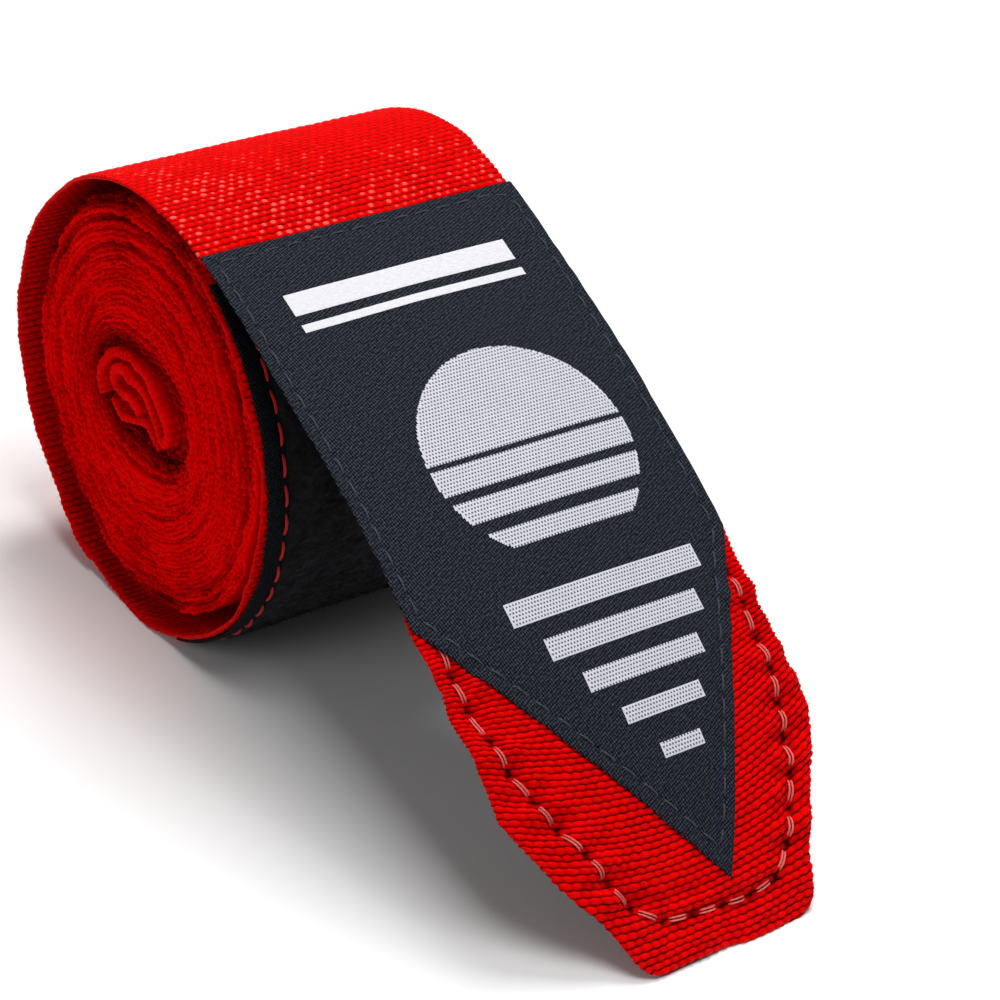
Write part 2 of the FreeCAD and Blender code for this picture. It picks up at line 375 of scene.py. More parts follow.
def off_row(u, v):
    """Distance from the stitch row of the tape's end."""
    foot = HOOK_ROUTE.index(HOOK_FOOT)
    best = np.hypot(v - HOOK_FOOT[1], np.clip(np.abs(u) - 9, 0, None))
    for side in (HOOK_ROUTE[:foot + 1], HOOK_ROUTE[:foot + 1:-1]):
        across, along = np.transpose(side)
        best = np.minimum(best, np.abs(u - np.interp(v, along, across)))
    return best


def drape(u, v):
    """Slow waves of the cloth that every layer of the tail follows, and puckers along the stitches."""
    on_tail = ramp(v, 4, 26) * (1 - ramp(v, 88, 106))
    crown = (0.5 - 0.9 * (u / HALF_WIDTH) ** 2) * on_tail
    loose = 0.22 * noise(u / 16 + 3, v / 19, 31) * on_tail
    curl = 0.35 * ramp(np.abs(u), 19, 25) * (0.6 + noise(v / 11, np.sign(u) * 4.3, 32)) * on_tail
    away = off_row(u, v)
    pucker = 0.95 * (0.25 + noise(u / 5.0, v / 2.7, 33)) * np.exp(-(away / 3.8) ** 2)
    pinch = 0.34 * np.cos(2 * math.pi * v / 4.3) * np.exp(-((away - 2.1) / 1.5) ** 2)
    valley = -0.45 * np.exp(-(away / 1.5) ** 2)
    sewn_down = ramp(v, 62, 70) * (1 - 0.7 * ramp(v, 99, 107))
    return crown + loose + curl + (pucker + pinch + valley) * sewn_down


def place(u, v, w):
    """Point in space, in mm, of a point on the tape."""
    u, v, w = np.broadcast_arrays(u, v, w)
    w = w + np.where(v > 0, drape(u, v), 0.0)
    y, z, angle = PATH.at(v + 0.45 * noise(u / 4.5, 0.5, 34) * ramp(v, 103, 110))
    y, z = y - np.sin(angle) * w, z + np.cos(angle) * w
    inner = v < FRONT_START
    py, pz = pressed(y, z)
    return np.stack([u, np.where(inner, py, y), np.where(inner, pz, z)], axis=-1)


# --- mesh making ---

def in_scene(name, data):
    """A new object in the scene that holds a mesh, a lamp or a camera."""
    made = bpy.data.objects.new(name, data)
    bpy.context.scene.collection.objects.link(made)
    return made


def build_mesh(name, points, quads, uv, materials, others=(), fields=None, slots=None, weld=False):
    """A mesh object from points in mm: smooth-shaded quads, and other faces that are flat ends."""
    mesh = bpy.data.meshes.new(name)
    mesh.vertices.add(len(points))
    mesh.vertices.foreach_set("co", (np.asarray(points) * MM).astype(np.float32).ravel())
    corners = np.concatenate([np.asarray(quads).ravel(), *[np.asarray(p) for p in others]])
    sizes = np.concatenate([np.full(len(quads), 4), [len(p) for p in others]]).astype(np.int64)
    mesh.loops.add(len(corners))
    mesh.loops.foreach_set("vertex_index", corners.astype(np.int32))
    mesh.polygons.add(len(sizes))
    starts = np.concatenate([[0], np.cumsum(sizes)[:-1]])
    mesh.polygons.foreach_set("loop_start", starts.astype(np.int32))
    mesh.polygons.foreach_set("use_smooth", np.arange(len(sizes)) < len(quads))
    if slots is not None:
        mesh.polygons.foreach_set("material_index", np.asarray(slots).astype(np.int32))
    layer = mesh.uv_layers.new(name="cloth")
    layer.data.foreach_set("uv", np.asarray(uv)[corners].astype(np.float32).ravel())
    for key, values in (fields or {}).items():
        mesh.attributes.new(key, "FLOAT", "POINT").data.foreach_set("value", values.astype(np.float32))
    for material in materials:
        mesh.materials.append(material)
    mesh.update(calc_edges=True)
    mesh.validate()
    if weld:
        shell = bmesh.new()
        shell.from_mesh(mesh)
        bmesh.ops.remove_doubles(shell, verts=shell.verts, dist=1e-6)
        shell.to_mesh(mesh)
        shell.free()
    return in_scene(name, mesh)


def grid_quads(rows, columns, first=0, flip=False):
    corner = first + np.arange(rows - 1)[:, None] * columns + np.arange(columns - 1)
    quads = np.stack([corner, corner + columns, corner + columns + 1, corner + 1], axis=-1).reshape(-1, 4)
    return quads[:, ::-1] if flip else quads


def rounded(gap, rim):
    """Share of the full thickness at a distance from an edge that is rounded over a rim."""
    return np.sqrt(np.clip(1 - (1 - np.clip(gap / rim, 0, 1)) ** 2, 0, 1))


def cloth_shell(name, u, v, edges, top, bottom, materials, rim=0.35, rim_end=None, stride=3,
                top_slots=None, fields=None):
    """A closed sheet: a fine outer face, a coarser inner face, rounded free edges, and cut ends."""
    rows, columns = u.shape
    left, right = edges
    lean = np.hypot(1, np.gradient(left, v))[:, None], np.hypot(1, np.gradient(right, v))[:, None]
    gap = np.minimum((u - left[:, None]) / lean[0], (right[:, None] - u) / lean[1])
    if rim_end is not None:
        gap = np.minimum(gap, rim_end - v[:, None])
    swell = rounded(gap, rim)
    middle = (top + bottom) / 2
    keep = np.unique(np.append(np.arange(0, columns, stride), columns - 1))
    vv = np.broadcast_to(v[:, None], u.shape)
    upper = place(u, vv, middle + (top - middle) * swell).reshape(-1, 3)
    lower = place(u, vv, middle + (bottom - middle) * swell)[:, keep].reshape(-1, 3)
    points = np.concatenate([upper, lower])
    uv = np.concatenate([np.stack([u, vv], -1).reshape(-1, 2), np.stack([u, vv], -1)[:, keep].reshape(-1, 2)])
    first = rows * columns
    quads = np.concatenate([
        grid_quads(rows, columns),
        grid_quads(rows, len(keep), first, flip=True),
    ])
    ends = []
    for k in range(len(keep) - 1):
        over = list(range(keep[k], keep[k + 1] + 1))
        ends.append([first + k, *over, first + k + 1][::-1])
        last = (rows - 1) * columns
        under = first + (rows - 1) * len(keep) + k
        ends.append([under, *[last + c for c in over], under + 1])
    kept = {}
    for key, (outer, inner) in (fields or {}).items():
        kept[key] = np.concatenate([outer.ravel(), inner[:, keep].ravel()])
    slots = None
    if top_slots is not None:
        slots = np.concatenate([top_slots.ravel(), np.zeros(len(quads) - top_slots.size + len(ends), int)])
    return build_mesh(name, points, quads, uv, materials, ends, kept, slots, weld=True)


def tubes(name, lines, radii, materials, sides=5, twist=0.0, ends=True):
    """Thin round bodies along many lines, all with the same number of points."""
    lines = np.asarray(lines, float)
    count, steps = lines.shape[:2]
    along = np.gradient(lines, axis=1)
    along /= np.linalg.norm(along, axis=2, keepdims=True) + 1e-12
    helper = np.where(np.abs(along[..., :1]) > 0.8, np.array([0.0, 1.0, 0.0]), np.array([1.0, 0.0, 0.0]))
    side = np.cross(along, helper)
    side /= np.linalg.norm(side, axis=2, keepdims=True) + 1e-12
    other = np.cross(along, side)
    length = np.concatenate([
        np.zeros((count, 1)),
        np.cumsum(np.linalg.norm(np.diff(lines, axis=1), axis=2), axis=1),
    ], axis=1)
    turn = np.arange(sides) * 2 * math.pi / sides
    radii = np.broadcast_to(radii, (count, steps))[..., None]
    if twist:
        radii = radii * (1 + 0.22 * np.abs(np.cos(turn + length[..., None] * twist)) - 0.1)
    ring = (
        side[:, :, None] * (np.cos(turn) * radii)[..., None]
        + other[:, :, None] * (np.sin(turn) * radii)[..., None]
    )
    points = (lines[:, :, None] + ring).reshape(-1, 3)
    base = (np.arange(count)[:, None, None] * steps + np.arange(steps - 1)[:, None]) * sides
    here, there = np.arange(sides), (np.arange(sides) + 1) % sides
    quads = np.stack([base + here, base + there, base + sides + there, base + sides + here], -1)
    caps = []
    if ends:
        for k in range(count):
            caps.append(list(range(k * steps * sides, k * steps * sides + sides))[::-1])
            last = (k * steps + steps - 1) * sides
            caps.append(list(range(last, last + sides)))
    around = np.broadcast_to(turn / 6.283, (count, steps, sides))
    far = np.broadcast_to(length[..., None], (count, steps, sides))
    uv = np.stack([around, far + np.arange(count)[:, None, None] * 3.7], -1).reshape(-1, 2)
    return build_mesh(name, points, quads.reshape(-1, 4), uv, materials, caps)


def fuzz(name, roots, lean, length, radius, materials, steps=5):
    """Loose fibres that curl away from their roots."""
    count = len(roots)
    lean = lean / np.linalg.norm(lean, axis=1, keepdims=True)
    bend = RANDOM.normal(0, 0.75, (count, 3))
    reach = length * RANDOM.uniform(0.45, 1.25, (count, 1))
    lines = [
        roots + reach * (lean * s + bend * s * s * 0.55)
        for s in np.linspace(0, 1, steps)
    ]
    taper = np.linspace(1.0, 0.35, steps) * radius
    return tubes(name, np.stack(lines, axis=1), taper, materials, sides=3, ends=False)


# --- materials ---

class Shader:
    """A material whose Principled node is fed by small named networks."""

    def __init__(self, name, **values):
        self.material = bpy.data.materials.new(name)
        self.material.use_nodes = True
        self.tree = self.material.node_tree
        self.body = self.tree.nodes["Principled BSDF"]
        for key, value in values.items():
            self.body.inputs[key.replace("_", " ")].default_value = value

    def node(self, kind, inputs=None, **settings):
        made = self.tree.nodes.new(kind)
        for key, value in settings.items():
            setattr(made, key, value)
        for key, value in (inputs or {}).items():
            if isinstance(value, bpy.types.NodeSocket):
                self.tree.links.new(value, made.inputs[key])
            else:
                made.inputs[key].default_value = value
        return made

    def cloth_uv(self, across, along, slide=0.0):
        """The cloth's own coordinates, stretched."""
        where = self.node("ShaderNodeUVMap", uv_map="cloth").outputs["UV"]
        scaled = self.node("ShaderNodeMapping", {"Vector": where, "Scale": (across, along, 1.0)})
        scaled.inputs["Location"].default_value = (slide, slide * 0.7, 0.0)
        return scaled.outputs["Vector"]

    def noise(self, across, along, slide=0.0, detail=3.0, rough=0.55):
        """Noise that changes along each way of the cloth so many times per millimetre."""
        inputs = {"Vector": self.cloth_uv(across, along, slide), "Scale": 1.0, "Detail": detail}
        return self.node("ShaderNodeTexNoise", {**inputs, "Roughness": rough}).outputs["Fac"]

    def field(self, name):
        return self.node("ShaderNodeAttribute", attribute_name=name).outputs["Fac"]

    def math(self, operation, a, b=0.0, c=0.0):
        return self.node("ShaderNodeMath", {0: a, 1: b, 2: c}, operation=operation).outputs[0]

    def roughness(self, grain, low, high):
        """Roughness from low to high over the middle of a noise, where nearly all its values lie."""
        made = self.node("ShaderNodeMapRange", {"Value": grain, "From Min": 0.3, "From Max": 0.7,
                                                "To Min": low, "To Max": high})
        return made.outputs["Result"]

    def ramp(self, value, *stops):
        made = self.node("ShaderNodeValToRGB", {"Fac": value})
        band = made.color_ramp
        band.elements[0].position, band.elements[0].color = stops[0][0], (*stops[0][1], 1)
        band.elements[1].position, band.elements[1].color = stops[-1][0], (*stops[-1][1], 1)
        for position, colour in stops[1:-1]:
            band.elements.new(position).color = (*colour, 1)
        return made.outputs["Color"]

    def dressed(self, colour, roughness, height, distance, strength):
        """The material, with its colour, its roughness and the bumps of a height."""
        inputs = {"Height": height, "Distance": distance, "Strength": strength}
        bumps = self.node("ShaderNodeBump", inputs).outputs["Normal"]
        for key, socket in (("Base Color", colour), ("Roughness", roughness), ("Normal", bumps)):
            self.tree.links.new(socket, self.body.inputs[key])
        return self.material


def red_cotton(name, deep, mid, crest, painted_highlight, shine):
    """Woven cotton: painted shade darkens the grooves and a painted glint tops the brightest crests, streaked by
    fibres, each float its own tone.
    """
    look = Shader(name, Specular_IOR_Level=shine, Specular_Tint=(1.0, 0.13, 0.11, 1.0))
    streak = look.noise(2.0, 10.0, rough=0.65)
    speck = look.noise(4.5, 5.5, 9.0, detail=2.0)
    patch = look.noise(0.12, 0.1, 4.0)
    shade = look.math("MULTIPLY_ADD", look.field("tint"), 0.12, look.math("MULTIPLY", streak, 0.8))
    shade = look.math("MULTIPLY_ADD", patch, 0.35, shade)
    relief = look.field("relief")
    level = look.math("MULTIPLY_ADD", look.math("SUBTRACT", shade, 0.6), 0.55, relief)
    level = look.math("MULTIPLY", level, 0.8)
    # the deep stop is painted shade in the grooves, and the last stop a painted glint on the crests
    colour = look.ramp(level, (0.16, deep), (0.38, mid), (0.70, crest), (0.90, crest), (1.0, painted_highlight))
    grain = look.math("MULTIPLY_ADD", streak, 0.5, look.math("MULTIPLY", speck, 0.5))
    rough = look.roughness(grain, 0.42, 0.68)
    fine = look.math("MULTIPLY_ADD", speck, 0.7, streak)
    return look.dressed(colour, rough, fine, 0.0002, 0.9)


def felted_cotton(name, deep, crest):
    """Cut and fulled yarn ends, matt and uneven, with painted shade where the relief field is low, on the edges that
    sit deeper.
    """
    look = Shader(name, Specular_IOR_Level=0.04, Specular_Tint=(1.0, 0.1, 0.08, 1.0))
    grain = look.noise(3.0, 2.2, detail=4.0, rough=0.7)
    mottle = look.noise(0.5, 0.45, 5.0)
    level = look.math("MULTIPLY_ADD", grain, 0.55, look.math("MULTIPLY", mottle, 0.45))
    # painted shade: a low relief darkens the colour
    level = look.math("MULTIPLY_ADD", look.field("relief"), 0.45, look.math("MULTIPLY", level, 0.9))
    colour = look.ramp(level, (0.3, deep), (0.88, crest))
    return look.dressed(colour, look.roughness(grain, 0.75, 0.95), grain, 0.0002, 0.8)


def satin(name, ground, painted_sheen, rough_low, rough_high, shine):
    """Fine satin: long floats tied down in slanting rows of tiny points; the rows of points are the weave's own
    pattern, and the floats' lighter colour is a painted sheen.
    """
    look = Shader(name, Specular_IOR_Level=shine, Specular_Tint=(0.74, 0.84, 1.0, 1.0))
    plain = look.node("ShaderNodeUVMap", uv_map="cloth").outputs["UV"]
    axes = look.node("ShaderNodeSeparateXYZ", {"Vector": plain})
    across, along = axes.outputs["X"], axes.outputs["Y"]
    wander = look.math("MULTIPLY", look.noise(1.3, 1.3, detail=2.0), 3.0)
    slant = look.math("MULTIPLY_ADD", along, 5.0, look.math("MULTIPLY_ADD", across, 11.6, wander))
    other = look.math("MULTIPLY_ADD", along, 9.4, look.math("MULTIPLY_ADD", across, -5.6, wander))
    dots = look.math("MULTIPLY", look.math("SINE", slant), look.math("SINE", other))
    worn = look.noise(2.6, 2.6, 2.0, detail=2.0, rough=0.6)
    level = look.math("MULTIPLY_ADD", dots, 0.32, worn)
    colour = look.ramp(level, (0.42, ground), (0.86, painted_sheen))
    return look.dressed(colour, look.roughness(level, rough_high, rough_low), level, 0.00012, 1.0)


def light_yarn(name, low, high):
    """Bright pattern yarn, tied down by rows of dark points in the geometry."""
    look = Shader(name, Specular_IOR_Level=0.25, Sheen_Weight=0.15, Sheen_Roughness=0.4)
    strand = look.noise(1.1, 9.0)
    speck = look.noise(6.0, 6.0, 3.0, detail=2.0)
    level = look.math("MULTIPLY_ADD", strand, 0.6, look.math("MULTIPLY", speck, 0.4))
    colour = look.ramp(level, (0.3, low), (0.7, high))
    return look.dressed(colour, look.roughness(strand, 0.5, 0.75), level, 0.00008, 0.6)


def brushed_pile(name):
    look = Shader(name, Specular_IOR_Level=0.12, Sheen_Weight=0.05, Sheen_Roughness=0.5,
                  Sheen_Tint=(0.75, 0.8, 0.9, 1.0))
    tuft = look.noise(1.1, 1.1, detail=5.0, rough=0.75)
    clump = look.noise(0.25, 0.2, 6.0)
    level = look.math("MULTIPLY_ADD", clump, 0.5, look.math("MULTIPLY", tuft, 0.5))
    colour = look.ramp(level, (0.38, (0.001, 0.001, 0.0015)), (0.68, (0.021, 0.022, 0.025)))
    return look.dressed(colour, look.roughness(tuft, 0.8, 1.0), tuft, 0.0003, 0.9)


def twisted_thread(name, low, high, shine, rough):
    look = Shader(name, Specular_IOR_Level=shine, Sheen_Weight=0.1)
    plies = look.node("ShaderNodeTexWave", {"Vector": look.cloth_uv(3.0, 1.5), "Scale": 1.0,
                                            "Distortion": 0.8}, wave_type="BANDS", bands_direction="DIAGONAL")
    hair = look.noise(4.0, 3.0)
    level = look.math("MULTIPLY_ADD", plies.outputs["Fac"], 0.55, look.math("MULTIPLY", hair, 0.45))
    colour = look.ramp(level, (0.2, low), (0.8, high))
    return look.dressed(colour, look.roughness(hair, rough - 0.1, rough + 0.12), level, 0.0001, 0.8)


# In both, the deep stop is painted shade in the grooves and the last stop a painted glint; the stretched copy round
# the roll is lighter in its grooves.
RED_FACE = red_cotton("red_cotton_face", (0.02, 0.0, 0.0), (0.48, 0.0, 0.0), (0.86, 0.0, 0.0),
                      (0.95, 0.04, 0.035), 0.12)
RED_ROLL = red_cotton("red_cotton_stretched", (0.06, 0.0, 0.0), (0.62, 0.0, 0.0), (0.92, 0.0, 0.0),
                      (1.0, 0.12, 0.10), 0.10)
RED_FELT = felted_cotton("red_cotton_ends", (0.04, 0.0, 0.0), (0.84, 0.0, 0.0))
RED_FIBRE = felted_cotton("red_cotton_fibres", (0.40, 0.0, 0.0), (0.92, 0.001, 0.001))
BLACK_SATIN = satin("black_satin", (0.005, 0.006, 0.009), (0.054, 0.060, 0.083), 0.5, 0.8, 0.06)
BLACK_MARGIN = satin("black_woven_margin", (0.001, 0.0013, 0.002), (0.016, 0.018, 0.022), 0.75, 0.95, 0.1)
GREY_YARN = light_yarn("light_pattern_yarn", (0.46, 0.46, 0.54), (0.72, 0.72, 0.79))
WHITE_YARN = light_yarn("white_pattern_yarn", (0.52, 0.52, 0.57), (0.84, 0.84, 0.87))
TIE_YARN = light_yarn("pattern_tie_yarn", (0.03, 0.03, 0.04), (0.11, 0.11, 0.14))
BLACK_PILE = brushed_pile("black_loop_pile")
HOOK_PLASTIC = satin("black_hook_tape", (0.010, 0.010, 0.012), (0.035, 0.035, 0.04), 0.35, 0.55, 0.5)
# The light stop of the black thread is a painted highlight on its plies.
BLACK_THREAD = twisted_thread("black_sewing_thread", (0.004, 0.005, 0.007), (0.070, 0.082, 0.105), 0.3, 0.5)
RED_THREAD = twisted_thread("red_sewing_thread", (0.38, 0.0, 0.0), (0.80, 0.004, 0.004), 0.25, 0.55)
# The double-row thread is red; its pink top stop is a painted glint on its plies.
RED_THREAD_PAINTED_GLINT = twisted_thread("red_sewing_thread_painted_glint", (0.72, 0.012, 0.012), (1.0, 0.25, 0.22), 0.35, 0.45)


# --- the woven face ---

def rib_number(u, v):
    """Which cross rib a point lies on; ribs are wider where the tape is pulled round the roll."""
    number = np.where(v < SEAM, SEAM_RIB + (v - SEAM) / ROLL_RIB, v / TAIL_RIB)
    drawn_in = 4.6 * ramp(v, 60, 82) * (1 - ramp(v, 92, 110)) + 0.5 * ramp(v, 60, 70)
    return number + drawn_in * (u / 24) ** 2 / TAIL_RIB


def weave(u, rib_at):
    """Height from 0 in the grooves to 1 on the crests, and each float's own random tint."""
    rib_at = rib_at + 0.17 * noise(u / 6.1, rib_at / 2.3, 11) + 0.08 * noise(u / 0.8, rib_at / 1.1, 12)
    height, tint = np.zeros(rib_at.shape), np.zeros(rib_at.shape)
    for step in (-1, 0, 1):
        rib = np.floor(rib_at) + step
        place_across = u / FLOAT_LENGTH + 0.5 * (rib % 2) + 0.14 * noise(u / 5, rib * 0.77, 13)
        cell = np.floor(place_across)
        s = place_across - cell - 0.5
        t = rib_at - rib - 0.5
        swell = np.cos(2 * math.pi * s)
        body = np.sqrt(np.clip(1 - np.abs(t / (0.485 + 0.03 * swell)) ** 2.5, 0, 1))
        own = lattice(rib, cell, 15)
        here = (0.64 + 0.36 * (0.5 + 0.5 * swell) ** 0.6) * (0.86 + 0.22 * own) * body
        tint = np.where(here > height, own, tint)
        height = np.maximum(here, height)
    return np.clip(height, 0, 1.1), tint


def back_weave(u, v):
    """The weave of the inner face, whose floats lie between those of the outer face."""
    return weave(u + BACK_SHIFT[0], rib_number(u, v) + BACK_SHIFT[1])


def face_height(relief, v):
    """Outer face of the tape: the weave is pulled flatter round the roll than on the tail."""
    depth = (FACE_HIGH - FACE_LOW) * np.where(v < SEAM, 0.7, 1.0)
    return FACE_HIGH - depth * (1 - relief)


def painted_weave_light(relief, u, v):
    """Painted light on the weave: near the label's top a painted glint brightens the crests and painted shade darkens
    the grooves.
    """
    patchy = 0.5 + 0.5 * noise(u / 4, v / 4, 17)
    band = ramp(v, -22 + 0.25 * u, -4 + 0.25 * u) * (1 - ramp(v, 2, 4))
    # painted glint on each crest and painted shade in the grooves, within a band that fades to the right
    crest = (0.12 + 0.26 * patchy) * ramp(relief, 0.74, 0.92)
    groove = 0.05 * (1 - ramp(relief, 0.5, 0.8))
    return relief + band * (crest - groove)


def worn_rim(relief, u, edges):
    """Fills the grooves towards the selvedges, where the cross threads turn back."""
    return relief + 0.75 * (0.66 - relief) * (1 - ramp(edge_gap(u, edges), 0.1, 0.9))


def knuckles(rib):
    """Place across each rib, from -1 to 1, and how deep a rounded edge of unit depth is cut there."""
    t = 2 * (rib - np.floor(rib)) - 1
    return t, 1 - np.sqrt(np.clip(1 - t * t, 0, 1))


def tail_edges(v):
    """Left and right edges of the tape, with the small knuckle of each rib."""
    taper = np.clip((v - TAPER_START) / (TAIL_LENGTH - TAPER_START), 0, 1)
    left = -HALF_WIDTH + (HALF_WIDTH + TIP_CENTRE - TIP_HALF_WIDTH) * taper
    right = HALF_WIDTH + (TIP_CENTRE + TIP_HALF_WIDTH - HALF_WIDTH) * taper
    corner = np.clip(v - (TAIL_LENGTH - TIP_CORNER), 0, TIP_CORNER)
    pull = TIP_CORNER - np.sqrt(np.clip(TIP_CORNER ** 2 - corner ** 2, 0, None))
    hidden = ramp(v, 2.5, 5.0) * (1 - ramp(v, 55.5, 59.0))
    sides = []
    for side, edge in ((-1, left), (1, right)):
        rib = rib_number(np.full_like(v, side * 24.0), v)
        t, sharp = knuckles(rib)
        knuckle = 0.17 * sharp
        own = 0.16 * lattice(np.floor(rib), 5, 21 + side) * (1 - t * t)
        wave = 0.40 * noise(v / 6.0, side * 3.0, 24)
        sides.append(edge - side * (knuckle - own + 0.1 + wave * (1 - hidden) + pull + 0.75 * hidden))
    return sides[0], sides[1]


def straight_rows(start, end, per_rib, rib):
    count = max(2, int(round((end - start) / rib * per_rib)) + 1)
    return np.linspace(start, end, count)


def with_end_rows(v):
    """Adds a row just inside each cut end, so that the end faces don't round off the cloth's shading."""
    return np.concatenate([v[:1], v[:1] + END_ROW, v[1:-1], v[-1:] - END_ROW, v[-1:]])


def cut_to(edges, columns, v):
    """The u and v of every point of a strip whose columns are cut off at its edges."""
    u = np.clip(columns[None, :], edges[0][:, None], edges[1][:, None])
    return u, np.broadcast_to(v[:, None], u.shape)


def edge_gap(u, edges):
    """Distance across the tape to the nearer of the two edges."""
    return np.minimum(u - edges[0][:, None], edges[1][:, None] - u)


def inset_columns(edges, inset):
    """Columns at the same few distances inside each edge of a strip."""
    return np.concatenate([edges[0][:, None] + inset, (edges[1][:, None] - inset)[:, ::-1]], axis=1)


def spaced(half, fine, edge=None, coarse=1.0):
    """Column positions: fine everywhere, or fine only within edge of both sides."""
    if edge is None:
        return np.linspace(-half, half, int(round(2 * half / fine)) + 1)
    side = np.arange(half, half - edge, -fine)
    inner = np.linspace(-(half - edge), half - edge, int(round(2 * (half - edge) / coarse)) + 1)
    return np.concatenate([-side, inner, side[::-1]])


# --- stitch rows on the tail ---

LABEL_ROUTE = [
    (-23.2, 3.6), (23.2, 3.6), (23.2, 59.0), (LABEL_POINT_OFFSET + 0.1, 98.4), (-23.2, 59.0), (-23.2, 3.6),
]


def resample(route, spacing, smooth):
    """Points at equal steps along a route through a few given points."""
    route = np.array(route, float)
    if smooth:
        padded = np.concatenate([[2 * route[0] - route[1]], route, [2 * route[-1] - route[-2]]])
        t = np.linspace(0, 1, 12, endpoint=False)[:, None]
        runs = []
        for a, b, c, d in zip(padded, padded[1:], padded[2:], padded[3:]):
            runs.append(0.5 * (2 * b + (c - a) * t + (2 * a - 5 * b + 4 * c - d) * t ** 2
                               + (3 * b - a - 3 * c + d) * t ** 3))
        route = np.concatenate([*runs, route[-1:]])
    length = np.concatenate([[0], np.cumsum(np.linalg.norm(np.diff(route, axis=0), axis=1))])
    stops = np.arange(0, length[-1], spacing)
    return np.stack([np.interp(stops, length, route[:, 0]), np.interp(stops, length, route[:, 1])], -1)


def distance_to(route, u, v):
    """Distance in the flat from each point to a route of closely spaced points."""
    best = np.full(u.shape, 1e9)
    for a, b in route:
        best = np.minimum(best, (u - a) ** 2 + (v - b) ** 2)
    return np.sqrt(best)


HOOK_ROW = resample(HOOK_ROUTE, 0.5, smooth=True)
HOOK_HOLES = resample(HOOK_ROUTE, 4.6, smooth=True)
UNDER_HOLES = resample([(0.0, 5.6), (-22.0, 5.6), *HOOK_ROUTE, (22.3, 5.6), (0.0, 5.6)], 4.6, smooth=False)
LABEL_ROW = resample(LABEL_ROUTE, 0.5, smooth=False)
LABEL_HOLES = resample(LABEL_ROUTE, 3.4, smooth=False)


def tail_face(u, v):
    """Outer face of the tape on the tail: weave, flattened under the label, drawn in by the stitches."""
    relief, tint = weave(u, rib_number(u, v))
    top = face_height(relief, v)
    near_tip = v > 58
    if near_tip.any():
        row = np.where(near_tip, distance_to(HOOK_ROW, u, v), 9.0)
        hole = np.where(near_tip, distance_to(HOOK_HOLES, u, v), 9.0)
        top = top + 0.12 * ramp(v, 62, 72)
        top = top - 0.42 * np.exp(-(row / 0.9) ** 2) - 0.35 * np.exp(-(hole / 0.6) ** 2)
        puff = 0.34 * noise(u / 3.4, v / 2.6, 41) * np.exp(-((row - 2.2) / 1.8) ** 2)
        top = np.maximum(top + puff, -0.14)
        # painted shade in the stitch holes and along the stitch row
        relief = relief * (1 - 0.55 * np.exp(-(hole / 0.7) ** 2) - 0.2 * np.exp(-(row / 0.8) ** 2))
    left, right = label_edges(v)
    covered = (np.minimum(u - left, right - u) > 0.15) & (v > LABEL_TOP + 0.2) & (v < LABEL_POINT)
    top = np.where(covered, np.minimum(top, LABEL_BACK - 0.06), top)
    return top, relief, tint


def tail_tape(k):
    start, end = strip_range(k, TAIL_ROOT, TAIL_LENGTH)
    open_weave = end > 56 or k == 0
    if k == 0:
        v = np.concatenate([
            straight_rows(start, 2.5, 8, ROLL_RIB)[:-1],
            straight_rows(2.5, end, 4, ROLL_RIB),
        ])
    else:
        v = straight_rows(start, end, 8 if open_weave else 5, TAIL_RIB)
    if k == LAST:
        rounded = TAIL_LENGTH - TIP_CORNER * (1 - np.sin(np.linspace(0, math.pi / 2, 26)))
        v = np.concatenate([v[v < TAIL_LENGTH - TIP_CORNER], rounded])
    v = with_end_rows(v)
    columns = spaced(WEAVE_REACH, 0.18) if open_weave else spaced(WEAVE_REACH, 0.16, edge=2.0)
    edges = tail_edges(v)
    u, vv = cut_to(edges, columns, v)
    top, relief, tint = tail_face(u, vv)
    back, back_tint = back_weave(u, vv)
    bottom = -0.24 - 0.14 * back
    if k == LAST:
        bottom = bottom + 0.1 * ramp(vv, 100, 108)
    fields = {"relief": (painted_weave_light(relief, u, vv), back), "tint": (tint, back_tint)}
    return cloth_shell(
        f"tape_tail_{k}", u, v, edges, top, bottom, [RED_FACE if k else RED_ROLL], rim=0.42,
        rim_end=TAIL_LENGTH if k == LAST else None, fields=fields,
    )


# --- wound tape ---

def roll_edges(v, seed):
    sides = []
    for side in (-1, 1):
        rib = rib_number(np.zeros_like(v), v)
        t, sharp = knuckles(rib)
        knuckle = 0.09 * sharp
        own = 0.10 * lattice(np.floor(rib), 7, seed + side) * (1 - t * t)
        wave = 0.42 * noise(v / 9.0, side * 2.0, seed) + 0.14 * noise(v / 2.4, side * 5.0, seed)
        sides.append(side * (HALF_WIDTH - 0.05 + own + wave - knuckle))
    return sides[0], sides[1]


def outer_turn(name, start, end, per_rib, columns, stride, edge_seed):
    """Part of the outer turn, woven on both faces."""
    v = with_end_rows(straight_rows(start, end, per_rib, ROLL_RIB))
    edges = roll_edges(v, edge_seed)
    u, vv = cut_to(edges, columns, v)
    relief, tint = weave(u, rib_number(u, vv))
    relief = worn_rim(relief, u, edges)
    slack = 0.15 * noise(u / 14, vv / 12, 52)
    top = face_height(relief, vv) + slack
    back, back_tint = back_weave(u, vv)
    back = worn_rim(back, u, edges)
    bottom = -0.22 - 0.24 * back + slack
    return cloth_shell(name, u, v, edges, top, bottom, [RED_ROLL], rim=0.42, stride=stride,
                       fields={"relief": (painted_weave_light(relief, u, vv), back), "tint": (tint, back_tint)})


